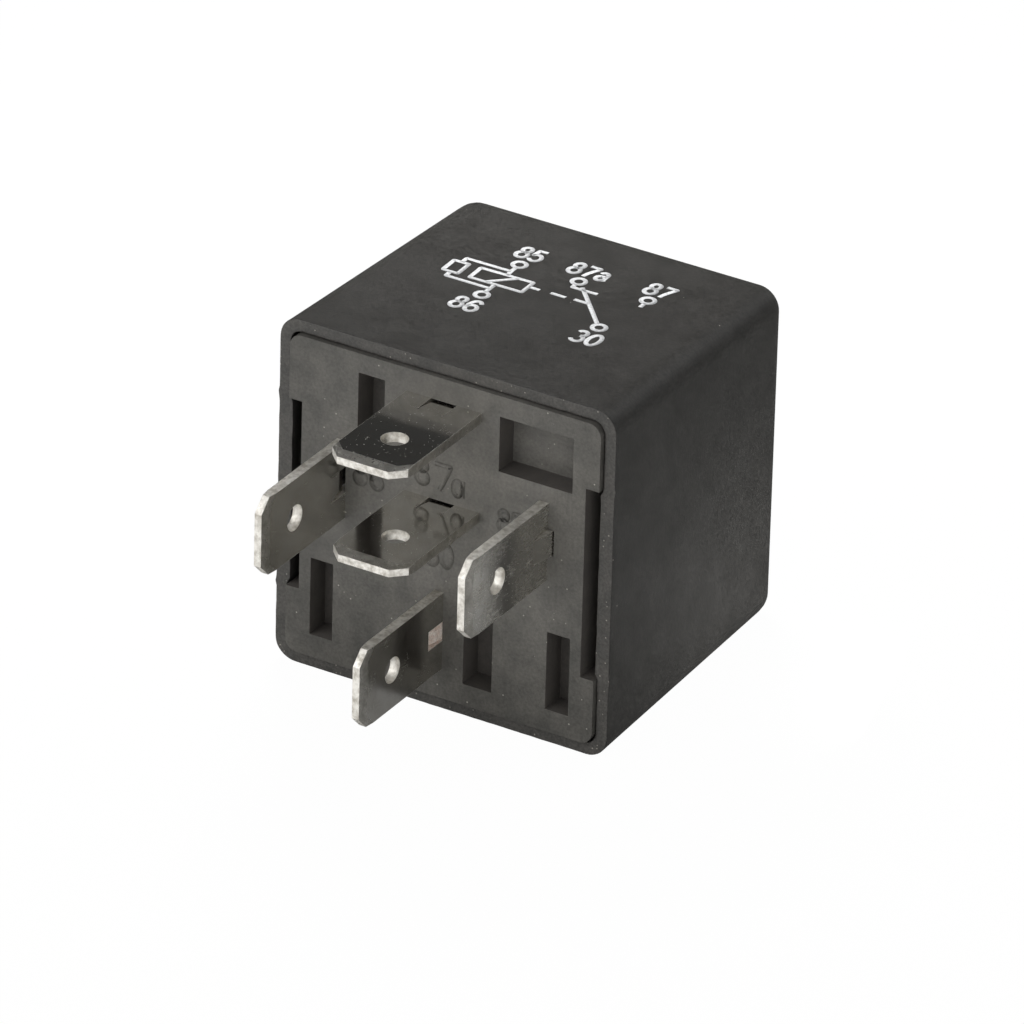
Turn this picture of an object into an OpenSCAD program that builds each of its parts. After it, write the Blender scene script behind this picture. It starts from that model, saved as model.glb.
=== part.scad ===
// Automotive relay, 28 mm cube form, with one changeover contact and a
// resistor across its coil. It lies on its side: the blades point to -Y, the
// marked face of the cover is up, and the origin is the centre of the base's
// outer face. Everything is in millimetres.

/* [Cover] */
// Outer width and height of the cover at its open rim
cover_w = 28; // [27.8:0.1:28.6]
// Depth of the cover from its rim to its closed end
cover_depth = 25.3; // [25.2:0.1:26.5]
// Wall at the rim
cover_wall = 0.85; // [0.7:0.05:0.9]
// Wall of the closed end
cover_end_wall = 1.1; // [0.8:0.05:1.2]
// Draft of the two sides that face X, in degrees
draft_side = 1.0; // [0.5:0.1:1.1]
// Draft of the marked face and the underside, in degrees
draft_top = 1.15; // [0.5:0.05:1.2]
// Corner radius at the rim
rim_corner_r = 1.9; // [1.5:0.1:2.5]
// Radius round the closed end
end_edge_r = 2.0; // [1.5:0.1:2.2]
// How far the rim sits behind the base's outer face
rim_setback = 0.35; // [0.2:0.05:0.6]

/* [Base] */
// Width of the base
base_w = 25.9; // [25.5:0.1:25.9]
// Height of the base
base_h = 25.9; // [25.5:0.1:25.9]
// Thickness of the base plate
base_t = 4.8; // [4.6:0.1:4.8]
// Corner radius of the base
base_corner_r = 1.0; // [0.6:0.1:1.2]
// Length of each latch slot
latch_l = 15.3; // [14:0.1:16]
// Depth of each latch slot, in from the base's side
latch_depth = 1.1; // [1:0.05:1.2]
// Width of the pocket in the outer face
pocket_w = 6.1; // [5:0.1:6.4]
// Height of the pocket
pocket_h = 4.4; // [3.5:0.1:4.8]
// Depth of the pocket
pocket_depth = 2.0; // [1:0.1:3]
// Depth of the spare slots that carry no blade
spare_depth = 2.1; // [1:0.1:3]

/* [Blades] */
// Width of a blade
blade_w = 6.3; // [6.2:0.1:6.4]
// Thickness of a blade
blade_t = 0.8; // [0.75:0.05:0.8]
// Detent hole through each blade
blade_hole_d = 2.0; // [1.6:0.1:2.2]
// Detent hole's centre, back from the tip
hole_back = 4.35; // [4:0.05:4.6]
// Corner cut at the tip
tip_cut = 1.05; // [0.7:0.05:1.3]
// Thickness of the coined tip
tip_t = 0.46; // [0.35:0.01:0.6]
// Length of the coined bevel behind the tip
bevel_l = 1.0; // [0.6:0.1:1.4]
// Width of the coined bevel along the two corner cuts
bevel_side = 0.6; // [0.3:0.05:0.8]
// Width of the locking lance near the root
lance_w = 2.1; // [1.8:0.1:2.3]
// How far the lance stands off its blade
lance_rise = 0.4; // [0.3:0.05:0.5]

/* [Magnet] */
// Diameter of the iron core
core_d = 5.4; // [5:0.1:5.6]
// Diameter of the pole face
pole_d = 8.4; // [7.6:0.1:8.6]
// Diameter of the winding
winding_d = 10.6; // [9.6:0.1:10.8]
// Thickness of the yoke
yoke_t = 1.5; // [1.4:0.05:1.5]
// Width of the yoke
yoke_w = 13; // [12.6:0.1:13.4]
// Thickness of the armature
armature_t = 1.4; // [1.3:0.05:1.4]
// Swing of the armature from rest to the pole, in degrees
swing = 2.6; // [2.4:0.05:2.6]

/* [Contacts] */
// Diameter of the fixed and moving contact heads
contact_d = 3.4; // [3:0.1:3.6]
// Thickness of the contact spring
spring_t = 0.25; // [0.2:0.01:0.25]
// Clearance left where a moving face meets its stop
stop_gap = 0.03; // [0.02:0.005:0.04]

/* [Resistor] */
// Diameter of the resistor body
resistor_d = 2.4; // [2:0.1:2.6]
// Length of the resistor body
resistor_l = 6.3; // [5.8:0.1:6.8]
// Diameter of the resistor's leads
lead_d = 0.56; // [0.5:0.02:0.6]

/* [Hidden] */

$fn = 40;
eps = 0.01;

// Cover
cover_end = rim_setback + cover_depth;
side_in = cover_depth * tan(draft_side);
top_in = cover_depth * tan(draft_top);
rim_round = 0.25;
lug_l = 7;
lug_y = 2.1;
lug_t = 1.1;
lug_root = 0.25;
lug_bite = 0.45;
catch_y = lug_y + lug_t;

// Blades: [x, z] of each root, and how far each one stands out
at_87 = [0, 10.75];
at_87a = [0, 2.7];
at_86 = [-8.45, 2.45];
at_85 = [8.45, 2.45];
at_30 = [-0.05, -7.4];
out_87 = 11.05;
out_87a = 10.65;
out_side = 11.25;
fold_h = 3.4;
fold_end = 5.6;
rivet_30 = [3.4, at_30[1] - blade_w / 2 + fold_h / 2];
window_l = 1.95;
window_in = 0.3;
lance_gap = 0.25;
lance_side = 0.05;
lance_hold = 0.2;
lance_30_w = 1.55;
key_w = lance_w + 0.3;
key_h = lance_rise + 0.25;

// Blind slots of the base that carry no blade: [x, z, width, height]
spare_slots = [
    [-9.92, -7.95, 1.9, 6.3],
    [9.97, -7.98, 1.9, 6.3],
    [3.3, -8.05, 2.4, 6.3],
    [-6.05, 8.25, 2.2, 6.3]
];
pocket_at = [7.69, 9.1];
catch_in = 0.35;

// Guide walls behind the plate, and the shelf under the top contact strip
guide_x = 8.6;
guide_l = 4.4;
guide_t = 0.7;
guide_in = 0.55;
guide_y = 7;
shelf_w = 4.8;
shelf_end = 10;

// Magnet, all round one axis along Y
coil_z = -3.6;
foot_y = base_t + blade_t;
flange_t = 1.0;
flange_w = 12.6;
bobbin_y = foot_y + yoke_t + 0.2;
bobbin_end = 18.2;
pole_t = 1.2;
pole_y = bobbin_end + 0.1 + pole_t;
neck_d = 3.4;
barrel_d = core_d + 1.4;
yoke_z = -11.6;
yoke_top = yoke_z + yoke_t;
yoke_bend_r = 1;
foot_top = 2.0;
ear_w = 1.5;
ear_l = 1.6;

// Armature: drawn closed on the pole, then opened about its hinge edge
hinge = [0, pole_y, -11.35];
arm_w = 12.4;
arm_y = pole_y + stop_gap;
arm_back = arm_y + armature_t;
arm_top = 1.6;
arm_heel_w = yoke_w - 2 * ear_w - 0.4;
heel_top = yoke_top + 0.2;
heel_cut = 0.5;
arm_corner = 2;
arm_rivet = [2.6, -4.4];

// Contact spring
spring_w = 8.8;
spring_tip_w = 5.0;
leg_rivet = [2.2, 12.4];
rivet_head_d = 2.8;
rivet_head_h = 0.42;
spring_mid = arm_back + spring_t / 2;
leg_z = yoke_z - spring_t / 2;
leg_y = 9.4;
bend_r = 0.75;
bend_z = leg_z + bend_r;
bend_y = hinge[1] + (spring_mid - hinge[1] - bend_r + (bend_z - hinge[2]) * sin(swing)) / cos(swing);
contact_z = 8.1;
spring_top = contact_z + 1.9;
taper = [0.6, 4.4];

// Contacts
head_h = 0.65;
dome_r = 6.5;
move_front = arm_back - head_h;
move_back = arm_back + spring_t + head_h;
shelf_y = move_front - stop_gap - head_h - blade_t;
open_back = hinge[1] + (move_back - hinge[1]) * cos(swing) + (contact_z - hinge[2]) * sin(swing);
back_y = open_back + stop_gap + head_h + 0.005;
shank_d = 1.6;
shank_head_d = 2.6;

// Strips that carry the fixed contacts
strip_w = 4.8;
riser_x = -9.5;
riser_z = 6.6;
riser_top = 9.6;

// Tails of the coil terminals, and the wires that end on them
tail_l = 4.2;
tail_z = 3.6;
tail_w = 1.8;
solder_y = 8.0;
solder_r = 1.25;
solder_in = 0.3;
wire_d = 0.3;
wire_x = 3;
resistor_at = [0, 10.2, 5.2];
cap_l = 1.5;

// ---- shapes used more than once ----

// Four-sided block of the cover: square at y0, drafted and rounded by y1
module drafted_block(w0, y0, in_x, in_z, y1, corner, end_r, lip) {
    hull() {
        for (sx = [-1, 1], sz = [-1, 1]) {
            translate([sx * (w0 / 2 - corner), y0, sz * (w0 / 2 - corner)])
                rotate([-90, 0, 0]) cylinder(r1 = corner - lip, r2 = corner, h = lip, $fn = 32);
            translate([sx * (w0 / 2 - in_x - end_r), y1 - end_r, sz * (w0 / 2 - in_z - end_r)])
                sphere(r = end_r, $fn = 32);
        }
    }
}

// Rectangle in the XZ plane with round corners, from y0 to y1
module plate_xz(w, h, r, y0, y1) {
    translate([0, y1, 0]) rotate([90, 0, 0]) linear_extrude(y1 - y0)
        union() {
            square([w - 2 * r, h], center = true);
            square([w, h - 2 * r], center = true);
            for (sx = [-1, 1], sz = [-1, 1])
                translate([sx * (w / 2 - r), sz * (h / 2 - r)]) circle(r = r);
        }
}

// Round bar along Y
module bar_y(d, y0, y1) {
    translate([0, y0, 0]) rotate([-90, 0, 0]) cylinder(d = d, h = y1 - y0);
}

// Block given by its lowest and highest corners
module block(low, high) {
    translate(low) cube(high - low);
}

// Places a blade: flat side up, or turned so that its lance faces -X or +X
module at_root(at, turn) {
    translate([at[0], 0, at[1]]) rotate([0, turn, 0]) children();
}

// One 6.3 mm blade with its tip at -out: cut corners, a coined bevel,
// a detent hole and a lance pushed out on the +Z side, lance_at = 1 where its
// free end faces the tip
module blade(out, inside, tongue_w = lance_w, lance_at = 0) {
    half = blade_w / 2;
    difference() {
        intersection() {
            translate([0, 0, -blade_t]) linear_extrude(2 * blade_t)
                polygon([[-half, inside], [half, inside], [half, -out + tip_cut],
                         [half - tip_cut, -out], [-half + tip_cut, -out], [-half, -out + tip_cut]]);
            translate([-half, 0, 0]) rotate([90, 0, 90]) linear_extrude(blade_w)
                polygon([[inside, -blade_t / 2], [inside, blade_t / 2],
                         [-out + bevel_l, blade_t / 2], [-out, tip_t / 2],
                         [-out, -tip_t / 2], [-out + bevel_l, -blade_t / 2]]);
        }
        for (side = [-1, 1]) corner_bevel(out, side);
        translate([0, hole_back - out, 0]) cylinder(d = blade_hole_d, h = 2 * blade_t, center = true);
        block([-tongue_w / 2, -window_l, -blade_t], [tongue_w / 2, window_in, blade_t]);
    }
    translate([0, lance_at * (window_in - window_l), 0]) mirror([0, lance_at, 0]) lance(tongue_w);
}

// What coining takes off both faces of the tip along one corner cut
module corner_bevel(out, side) {
    mirror([side < 0 ? 1 : 0, 0, 0]) translate([blade_w / 2, tip_cut - out, 0])
        rotate([0, 0, 135]) rotate([90, 0, 0]) for (face = [-1, 1])
            linear_extrude(3 * tip_cut, center = true)
                polygon([[-1, face * tip_t / 2], [0, face * tip_t / 2], [bevel_side, face * blade_t / 2],
                         [bevel_side, face * blade_t], [-1, face * blade_t]]);
}

// Tongue sheared free at both sides and pushed out: flush with the blade at
// its root, and standing off by the rise at its free end
module lance(tongue_w) {
    half = blade_t / 2;
    w = tongue_w - 2 * lance_side;
    translate([-w / 2, 0, 0]) rotate([90, 0, 90]) linear_extrude(w)
        polygon([[-window_l - lance_hold, -half], [-window_l, -half],
                 [-lance_gap, lance_rise - half], [-lance_gap, lance_rise + half],
                 [-window_l, half], [-window_l - lance_hold, half]]);
}

// Slot through the base for one blade, with the lance's keyway beside it
module blade_slot() {
    block([-blade_w / 2, -eps, -blade_t / 2], [blade_w / 2, base_t + eps, blade_t / 2]);
    block([-key_w / 2, -eps, 0], [key_w / 2, base_t + eps, blade_t / 2 + key_h]);
}

// Rivet contact along Y: a domed head on one side of its carrier
module contact_head(d, h) {
    intersection() {
        cylinder(d = d, h = h);
        translate([0, 0, h - dome_r]) sphere(r = dome_r, $fn = 40);
    }
}

// Tube of round section along a list of points
function unit(v) = v / norm(v);
function along(p, i) =
    i == 0 ? unit(p[1] - p[0]) :
    i == len(p) - 1 ? unit(p[i] - p[i - 1]) :
    unit(unit(p[i + 1] - p[i]) + unit(p[i] - p[i - 1]));
function ring(p, i, r, n) =
    let (t = along(p, i), a = unit(cross(t, [0.31, 0.52, 0.8])), b = cross(t, a))
    [for (k = [0 : n - 1]) p[i] + r * (a * cos(360 * k / n) + b * sin(360 * k / n))];
module wire(p, d, n = 8) {
    rings = len(p);
    points = [for (i = [0 : rings - 1]) each ring(p, i, d / 2, n)];
    walls = [for (i = [0 : rings - 2], k = [0 : n - 1])
        [i * n + k, (i + 1) * n + k, (i + 1) * n + (k + 1) % n, i * n + (k + 1) % n]];
    caps = [[for (k = [0 : n - 1]) k], [for (k = [n - 1 : -1 : 0]) (rings - 1) * n + k]];
    polyhedron(points = points, faces = concat(caps, walls));
}

// A quarter bend between two straight runs, for a wire's list of points
function corner(from, at, to, r, steps = 4) =
    let (a = at + r * unit(from - at), b = at + r * unit(to - at))
    [for (k = [0 : steps]) let (s = k / steps) a * pow(1 - s, 2) + at * 2 * s * (1 - s) + b * pow(s, 2)];

// Opens its children from the pole by the armature's swing
module opened() {
    translate(hinge) rotate([-swing, 0, 0]) translate(-hinge) children();
}

// ---- housing ----

// Drafted cup that clips over the base; a lug inside each side holds it
module cover() {
    color("#3a3a39") {
        difference() {
            drafted_block(cover_w, rim_setback, side_in, top_in, cover_end,
                          rim_corner_r, end_edge_r, rim_round);
            drafted_block(cover_w - 2 * cover_wall, rim_setback - 1, side_in, top_in,
                          cover_end - cover_end_wall, rim_corner_r - 0.7, end_edge_r - 0.6, 0.1);
        }
        for (side = [-1, 1]) cover_lug(side);
    }
}

// Ramped lug: square towards the catch of the base, sloped to the rim
module cover_lug(side) {
    wall_x = cover_w / 2 - cover_wall + lug_root;
    tip_x = base_w / 2 - latch_depth + lug_bite;
    mirror([side < 0 ? 1 : 0, 0, 0])
        translate([0, 0, -lug_l / 2]) linear_extrude(lug_l)
            polygon([[wall_x, lug_y - 0.9], [tip_x, lug_y + 0.3], [tip_x, catch_y - 0.05],
                     [wall_x, catch_y - 0.05]]);
}

// Base moulding: blade slots with keyways, spare slots, a pocket, a latch
// slot with its catch on each side, and supports behind the plate
module base() {
    color("#4b4a48") {
        difference() {
            plate_xz(base_w, base_h, base_corner_r, 0, base_t);
            at_root(at_87, 180) blade_slot();
            at_root(at_87a, 180) blade_slot();
            at_root(at_86, -90) blade_slot();
            at_root(at_85, 90) blade_slot();
            at_root(at_30, -90) blade_slot();
            for (s = spare_slots)
                block([s[0] - s[2] / 2, -eps, s[1] - s[3] / 2],
                      [s[0] + s[2] / 2, spare_depth, s[1] + s[3] / 2]);
            block([pocket_at[0] - pocket_w / 2, -eps, pocket_at[1] - pocket_h / 2],
                  [pocket_at[0] + pocket_w / 2, pocket_depth, pocket_at[1] + pocket_h / 2]);
            for (side = [-1, 1]) latch_slot(side);
        }
        strip_shelf();
        for (side = [-1, 1]) guide_wall(side);
    }
}

// Slot in the base's side, open at the outer face; past it the plate stands
// out again as the catch
module latch_slot(side) {
    mirror([side < 0 ? 1 : 0, 0, 0])
        translate([0, 0, -latch_l / 2]) linear_extrude(latch_l)
            polygon([[base_w / 2 - latch_depth, -1], [base_w / 2 + 1, -1], [base_w / 2 + 1, base_t + 1],
                     [base_w / 2 - catch_in, base_t + 1], [base_w / 2 - catch_in, catch_y],
                     [base_w / 2 - latch_depth, catch_y]]);
}

// Shelf that the top contact strip lies on
module strip_shelf() {
    block([-shelf_w / 2, base_t - eps, riser_top + 0.1],
          [shelf_w / 2, shelf_end, at_87[1] - blade_t / 2]);
}

// Low wall inside the top and bottom edges that guides the cover on
module guide_wall(side) {
    z = side * (base_h / 2 - guide_in);
    for (x = [-guide_x, guide_x])
        block([x - guide_l / 2, base_t - eps, z - guide_t / 2],
              [x + guide_l / 2, guide_y, z + guide_t / 2]);
}

// ---- terminals ----

// Normally open terminal: a straight strip, folded down behind its contact
module terminal_87() {
    color("#c9c7c1") difference() {
        union() {
            at_root(at_87, 180) blade(out_87, 6);
            top = at_87[1] + blade_t / 2;
            block([-strip_w / 2, 5.9, top - blade_t], [strip_w / 2, shelf_y + blade_t, top]);
            block([-strip_w / 2, shelf_y, riser_z], [strip_w / 2, shelf_y + blade_t, top]);
        }
        translate([0, 0, contact_z]) bar_y(shank_d, shelf_y - 1, shelf_y + blade_t + 1);
    }
}

// Normally closed terminal: up behind the base, back along one side, and
// across behind the moving contact
module terminal_87a() {
    low = at_87a[1] - blade_t / 2;
    color("#c9c7c1") difference() {
        union() {
            at_root(at_87a, 180) blade(out_87a, foot_y);
            block([-blade_w / 2, base_t, low], [blade_w / 2, foot_y, riser_top]);
            block([riser_x, base_t, riser_z], [0, foot_y, riser_top]);
            block([riser_x, base_t, riser_z], [riser_x + blade_t, back_y + blade_t, riser_top]);
            block([riser_x, back_y, riser_z], [strip_w / 2, back_y + blade_t, riser_top]);
        }
        translate([0, 0, contact_z]) bar_y(shank_d, back_y - 1, back_y + blade_t + 1);
    }
}

// Coil terminal: a blade on edge whose tail carries the winding's end
module coil_terminal(at, turn) {
    color("#c9c7c1") {
        at_root(at, turn) blade(out_side, foot_y);
        block([at[0] - blade_t / 2, foot_y - eps, tail_z],
              [at[0] + blade_t / 2, foot_y - eps + tail_l, tail_z + tail_w]);
    }
}
module terminal_85() { coil_terminal(at_85, 90); }
module terminal_86() { coil_terminal(at_86, -90); }

// Common terminal: a blade on edge, folded flat behind the base and riveted
// to the yoke's foot
module terminal_30() {
    x = at_30[0] - blade_t / 2;
    low = at_30[1] - blade_w / 2;
    color("#c9c7c1") difference() {
        union() {
            at_root(at_30, -90) blade(out_side, foot_y, lance_30_w, 1);
            block([x, base_t, low], [fold_end, foot_y, low + fold_h]);
        }
        block([x - 1, base_t, low + fold_h], [x + 2, foot_y + 1, low + blade_w + 1]);
        translate([rivet_30[0], 0, rivet_30[1]]) bar_y(shank_d, base_t - 1, foot_y + 1);
    }
}
module terminal_30_rivet() {
    color("#b9b6ae") translate([rivet_30[0], 0, rivet_30[1]]) {
        bar_y(shank_d, base_t, foot_y + yoke_t);
        bar_y(2.4, foot_y + yoke_t, bobbin_y - 0.02);
    }
}

// ---- magnet ----

// L-shaped iron yoke: foot riveted to the core, long leg under the coil,
// two ears beside the armature's heel
module yoke() {
    color("#b0afa8") difference() {
        union() {
            block([-yoke_w / 2, foot_y, yoke_z + yoke_bend_r], [yoke_w / 2, foot_y + yoke_t, foot_top]);
            block([-yoke_w / 2, foot_y + yoke_bend_r, yoke_z], [yoke_w / 2, pole_y, yoke_top]);
            yoke_bend();
            for (side = [-1, 1])
                block([side > 0 ? yoke_w / 2 - ear_w : -yoke_w / 2, pole_y - eps, yoke_z],
                      [side > 0 ? yoke_w / 2 : ear_w - yoke_w / 2, pole_y + ear_l, yoke_top]);
        }
        translate([0, 0, coil_z]) bar_y(neck_d, foot_y - 1, foot_y + yoke_t + 1);
        translate([rivet_30[0], 0, rivet_30[1]]) bar_y(shank_d, foot_y - 1, foot_y + yoke_t + 1);
        for (x = [-leg_rivet[0], leg_rivet[0]])
            translate([x, leg_rivet[1], yoke_z - 1]) cylinder(d = shank_d, h = yoke_t + 2);
    }
}

// Quarter-round outside of the yoke's bend
module yoke_bend() {
    r = yoke_bend_r;
    intersection() {
        translate([-yoke_w / 2, foot_y + r, yoke_z + r]) rotate([0, 90, 0]) cylinder(r = r, h = yoke_w);
        block([-yoke_w, foot_y, yoke_z], [yoke_w, foot_y + r + eps, yoke_z + r + eps]);
    }
}

// Iron core: neck riveted through the yoke's foot, and a wide pole
module core() {
    color("#a9a8a2") translate([0, 0, coil_z]) {
        bar_y(4.4, base_t + 0.15, foot_y);
        bar_y(neck_d, foot_y - eps, foot_y + yoke_t + eps);
        bar_y(core_d, foot_y + yoke_t, pole_y - pole_t + eps);
        bar_y(pole_d, pole_y - pole_t, pole_y);
    }
}

// Moulded bobbin: barrel and two flanges, the front one notched for the wires
module bobbin() {
    color("#d8cfae") translate([0, 0, coil_z]) difference() {
        union() {
            plate_xz(flange_w, flange_w, 1.2, bobbin_y, bobbin_y + flange_t);
            plate_xz(flange_w, flange_w, 1.2, bobbin_end - flange_t, bobbin_end);
            bar_y(barrel_d, bobbin_y, bobbin_end);
        }
        bar_y(core_d, bobbin_y - 1, bobbin_end + 1);
        for (x = [-wire_x, wire_x])
            block([x - 0.4, bobbin_y - 1, 4], [x + 0.4, bobbin_y + flange_t + eps, flange_w]);
    }
}

// Copper winding between the flanges
module winding() {
    color("#b4622f") translate([0, 0, coil_z]) difference() {
        bar_y(winding_d, bobbin_y + flange_t, bobbin_end - flange_t);
        bar_y(barrel_d, bobbin_y, bobbin_end);
    }
}

// One turn of tape round the middle of the winding
module winding_tape() {
    color("#c79a2e") translate([0, 0, coil_z]) difference() {
        bar_y(winding_d + 0.2, bobbin_y + flange_t + 1, bobbin_end - flange_t - 1);
        bar_y(winding_d, bobbin_y, bobbin_end);
    }
}

// Ends of the winding, led up through the flange's notches to the tails
module coil_wire(at) {
    side = sign(at[0]);
    x = side * wire_x;
    start_z = coil_z + sqrt(pow((winding_d + wire_d) / 2, 2) - wire_x * wire_x);
    above = [x + side * 0.1, bobbin_y + flange_t / 2, coil_z + flange_w / 2 + 0.5];
    way = unit(above - solder_at(at));
    color("#b4622f") wire([
        [x, bobbin_y + flange_t + wire_d / 2, start_z],
        [x, bobbin_y + flange_t * 0.8, start_z + 0.1],
        [x, bobbin_y + flange_t / 2, start_z + 0.5],
        above, above - way * 0.6, solder_at(at) + way * (solder_r - 0.03)
    ], wire_d, 6);
}
module coil_wire_85() { coil_wire(at_85); }
module coil_wire_86() { coil_wire(at_86); }

// ---- armature and contacts ----

// Flat iron armature; its narrow heel sits between the yoke's ears
module armature() {
    color("#a3a29c") opened() difference() {
        union() {
            block([-arm_w / 2, arm_y, heel_top], [arm_w / 2, arm_back, arm_top - arm_corner]);
            block([arm_corner - arm_w / 2, arm_y, heel_top], [arm_w / 2 - arm_corner, arm_back, arm_top]);
            for (side = [-1, 1])
                translate([side * (arm_w / 2 - arm_corner), 0, arm_top - arm_corner])
                    bar_y(2 * arm_corner, arm_y, arm_back);
            translate([-arm_heel_w / 2, 0, 0]) rotate([90, 0, 90]) linear_extrude(arm_heel_w)
                polygon([[arm_y, hinge[2]], [arm_back - heel_cut, hinge[2]],
                         [arm_back, hinge[2] + heel_cut], [arm_back, heel_top + 1],
                         [arm_y, heel_top + 1]]);
        }
        for (side = [-1, 1])
            translate([side * arm_rivet[0], 0, arm_rivet[1]]) bar_y(shank_d, arm_y - 1, arm_back + 1);
    }
}

// Leaf spring: one leg under the yoke, a bend round the heel, and a long leg
// that narrows to the moving contact
module contact_spring() {
    color("#c58a4a") {
        difference() {
            block([-spring_w / 2, leg_y, leg_z - spring_t / 2],
                  [spring_w / 2, bend_y + eps, leg_z + spring_t / 2]);
            for (side = [-1, 1])
                translate([side * leg_rivet[0], leg_rivet[1], leg_z - 1])
                    cylinder(d = shank_d + 0.1, h = 2);
        }
        spring_bend();
        opened() difference() {
            translate([0, arm_back + spring_t, 0]) rotate([90, 0, 0]) linear_extrude(spring_t)
                spring_outline();
            for (side = [-1, 1])
                translate([side * arm_rivet[0], 0, arm_rivet[1]]) bar_y(shank_d, arm_y, arm_back + 1);
            translate([0, 0, contact_z]) bar_y(shank_d, arm_y, arm_back + 1);
        }
    }
}
module spring_bend() {
    reach = bend_r + spring_t;
    translate([-spring_w / 2, bend_y, bend_z]) rotate([0, 90, 0]) difference() {
        intersection() {
            cylinder(r = bend_r + spring_t / 2, h = spring_w);
            linear_extrude(spring_w)
                polygon([[0, 0], [2 * reach, 0], [2 * reach, 2 * reach],
                         [2 * reach * -sin(swing), 2 * reach * cos(swing)]]);
        }
        translate([0, 0, -1]) cylinder(r = bend_r - spring_t / 2, h = spring_w + 2);
    }
}
module spring_outline() {
    foot = bend_z - 0.06;
    half = spring_w / 2;
    tip = spring_tip_w / 2;
    polygon([[-half, foot], [half, foot], [half, taper[0]], [tip, taper[1]], [tip, contact_z],
             [tip - 1, spring_top], [1 - tip, spring_top], [-tip, contact_z],
             [-tip, taper[1]], [-half, taper[0]]]);
}

// Rivet that holds the spring's leg under the yoke
module spring_rivet(side) {
    under = yoke_z - spring_t - 0.02;
    color("#b9b6ae") translate([side * leg_rivet[0], leg_rivet[1], under]) {
        cylinder(d = shank_d, h = yoke_top - under);
        translate([0, 0, -rivet_head_h]) cylinder(d = rivet_head_d, h = rivet_head_h);
    }
}
module spring_rivet_left() { spring_rivet(-1); }
module spring_rivet_right() { spring_rivet(1); }

// Rivet that holds the spring's long leg on the armature
module armature_rivet(side) {
    color("#b9b6ae") opened() translate([side * arm_rivet[0], 0, arm_rivet[1]]) {
        bar_y(shank_d, arm_y, arm_back + spring_t + eps);
        bar_y(rivet_head_d, arm_back + spring_t, arm_back + spring_t + rivet_head_h);
    }
}
module armature_rivet_left() { armature_rivet(-1); }
module armature_rivet_right() { armature_rivet(1); }

// Double-headed silver rivet at the spring's tip
module moving_contact() {
    color("#d9d6cf") opened() translate([0, 0, contact_z]) {
        translate([0, arm_back, 0]) rotate([90, 0, 0]) contact_head(contact_d, head_h);
        bar_y(shank_d, arm_back - eps, arm_back + spring_t + eps);
        translate([0, arm_back + spring_t, 0]) rotate([-90, 0, 0]) contact_head(contact_d - 0.4, head_h);
    }
}

// Silver rivets on the two strips, one each side of the moving contact
module fixed_contact_87() {
    color("#d9d6cf") translate([0, 0, contact_z]) {
        translate([0, shelf_y + blade_t, 0]) rotate([-90, 0, 0]) contact_head(contact_d, head_h);
        bar_y(shank_d, shelf_y - eps, shelf_y + blade_t + eps);
        bar_y(shank_head_d, shelf_y - 0.35, shelf_y);
    }
}
module fixed_contact_87a() {
    color("#d9d6cf") translate([0, 0, contact_z]) {
        translate([0, back_y, 0]) rotate([90, 0, 0]) contact_head(contact_d, head_h);
        bar_y(shank_d, back_y - eps, back_y + blade_t + eps);
        bar_y(shank_head_d, back_y + blade_t, back_y + blade_t + 0.25);
    }
}

// ---- resistor ----

// Axial resistor with swollen end caps
module resistor_body() {
    color("#6f8f9c") translate(resistor_at) rotate([0, 90, 0]) {
        cylinder(d = resistor_d - 0.3, h = resistor_l, center = true);
        for (side = [-1, 1])
            translate([0, 0, side * (resistor_l - cap_l) / 2])
                cylinder(d = resistor_d, h = cap_l, center = true);
    }
}
module resistor_lead(at) {
    side = sign(at[0]);
    root = resistor_at + [side * resistor_l / 2, 0, 0];
    off = blade_t / 2 + lead_d / 2 - solder_in;
    finish = solder_at(at) + [-side * off, sqrt(solder_r * solder_r - off * off), 0];
    knee = [finish[0], resistor_at[1], resistor_at[2]];
    color("#c4c2bc") wire(concat([root], corner(root, knee, finish, 0.9), [finish]), lead_d);
}
module resistor_lead_85() { resistor_lead(at_85); }
module resistor_lead_86() { resistor_lead(at_86); }

// Solder round a tail, where the winding and the resistor meet it
function solder_at(at) = [at[0] - sign(at[0]) * solder_in, solder_y, tail_z + tail_w / 2];
module solder(at) {
    color("#bfc0bd") difference() {
        translate(solder_at(at)) sphere(r = solder_r, $fn = 24);
        block([at[0] - blade_t / 2, solder_y - 3, tail_z],
              [at[0] + blade_t / 2, solder_y + 3, tail_z + tail_w]);
    }
}
module solder_85() { solder(at_85); }
module solder_86() { solder(at_86); }

cover();
base();
terminal_30();
terminal_85();
terminal_86();
terminal_87();
terminal_87a();
terminal_30_rivet();
yoke();
core();
bobbin();
winding();
winding_tape();
coil_wire_85();
coil_wire_86();
armature();
contact_spring();
spring_rivet_left();
spring_rivet_right();
armature_rivet_left();
armature_rivet_right();
moving_contact();
fixed_contact_87();
fixed_contact_87a();
resistor_body();
resistor_lead_85();
resistor_lead_86();
solder_85();
solder_86();
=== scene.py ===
# Automotive relay, 28 mm cube form: finishes, moulded and printed detail, and the light it stands in.
import bpy
import bmesh
import math

from mathutils import Matrix, Vector, noise


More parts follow.
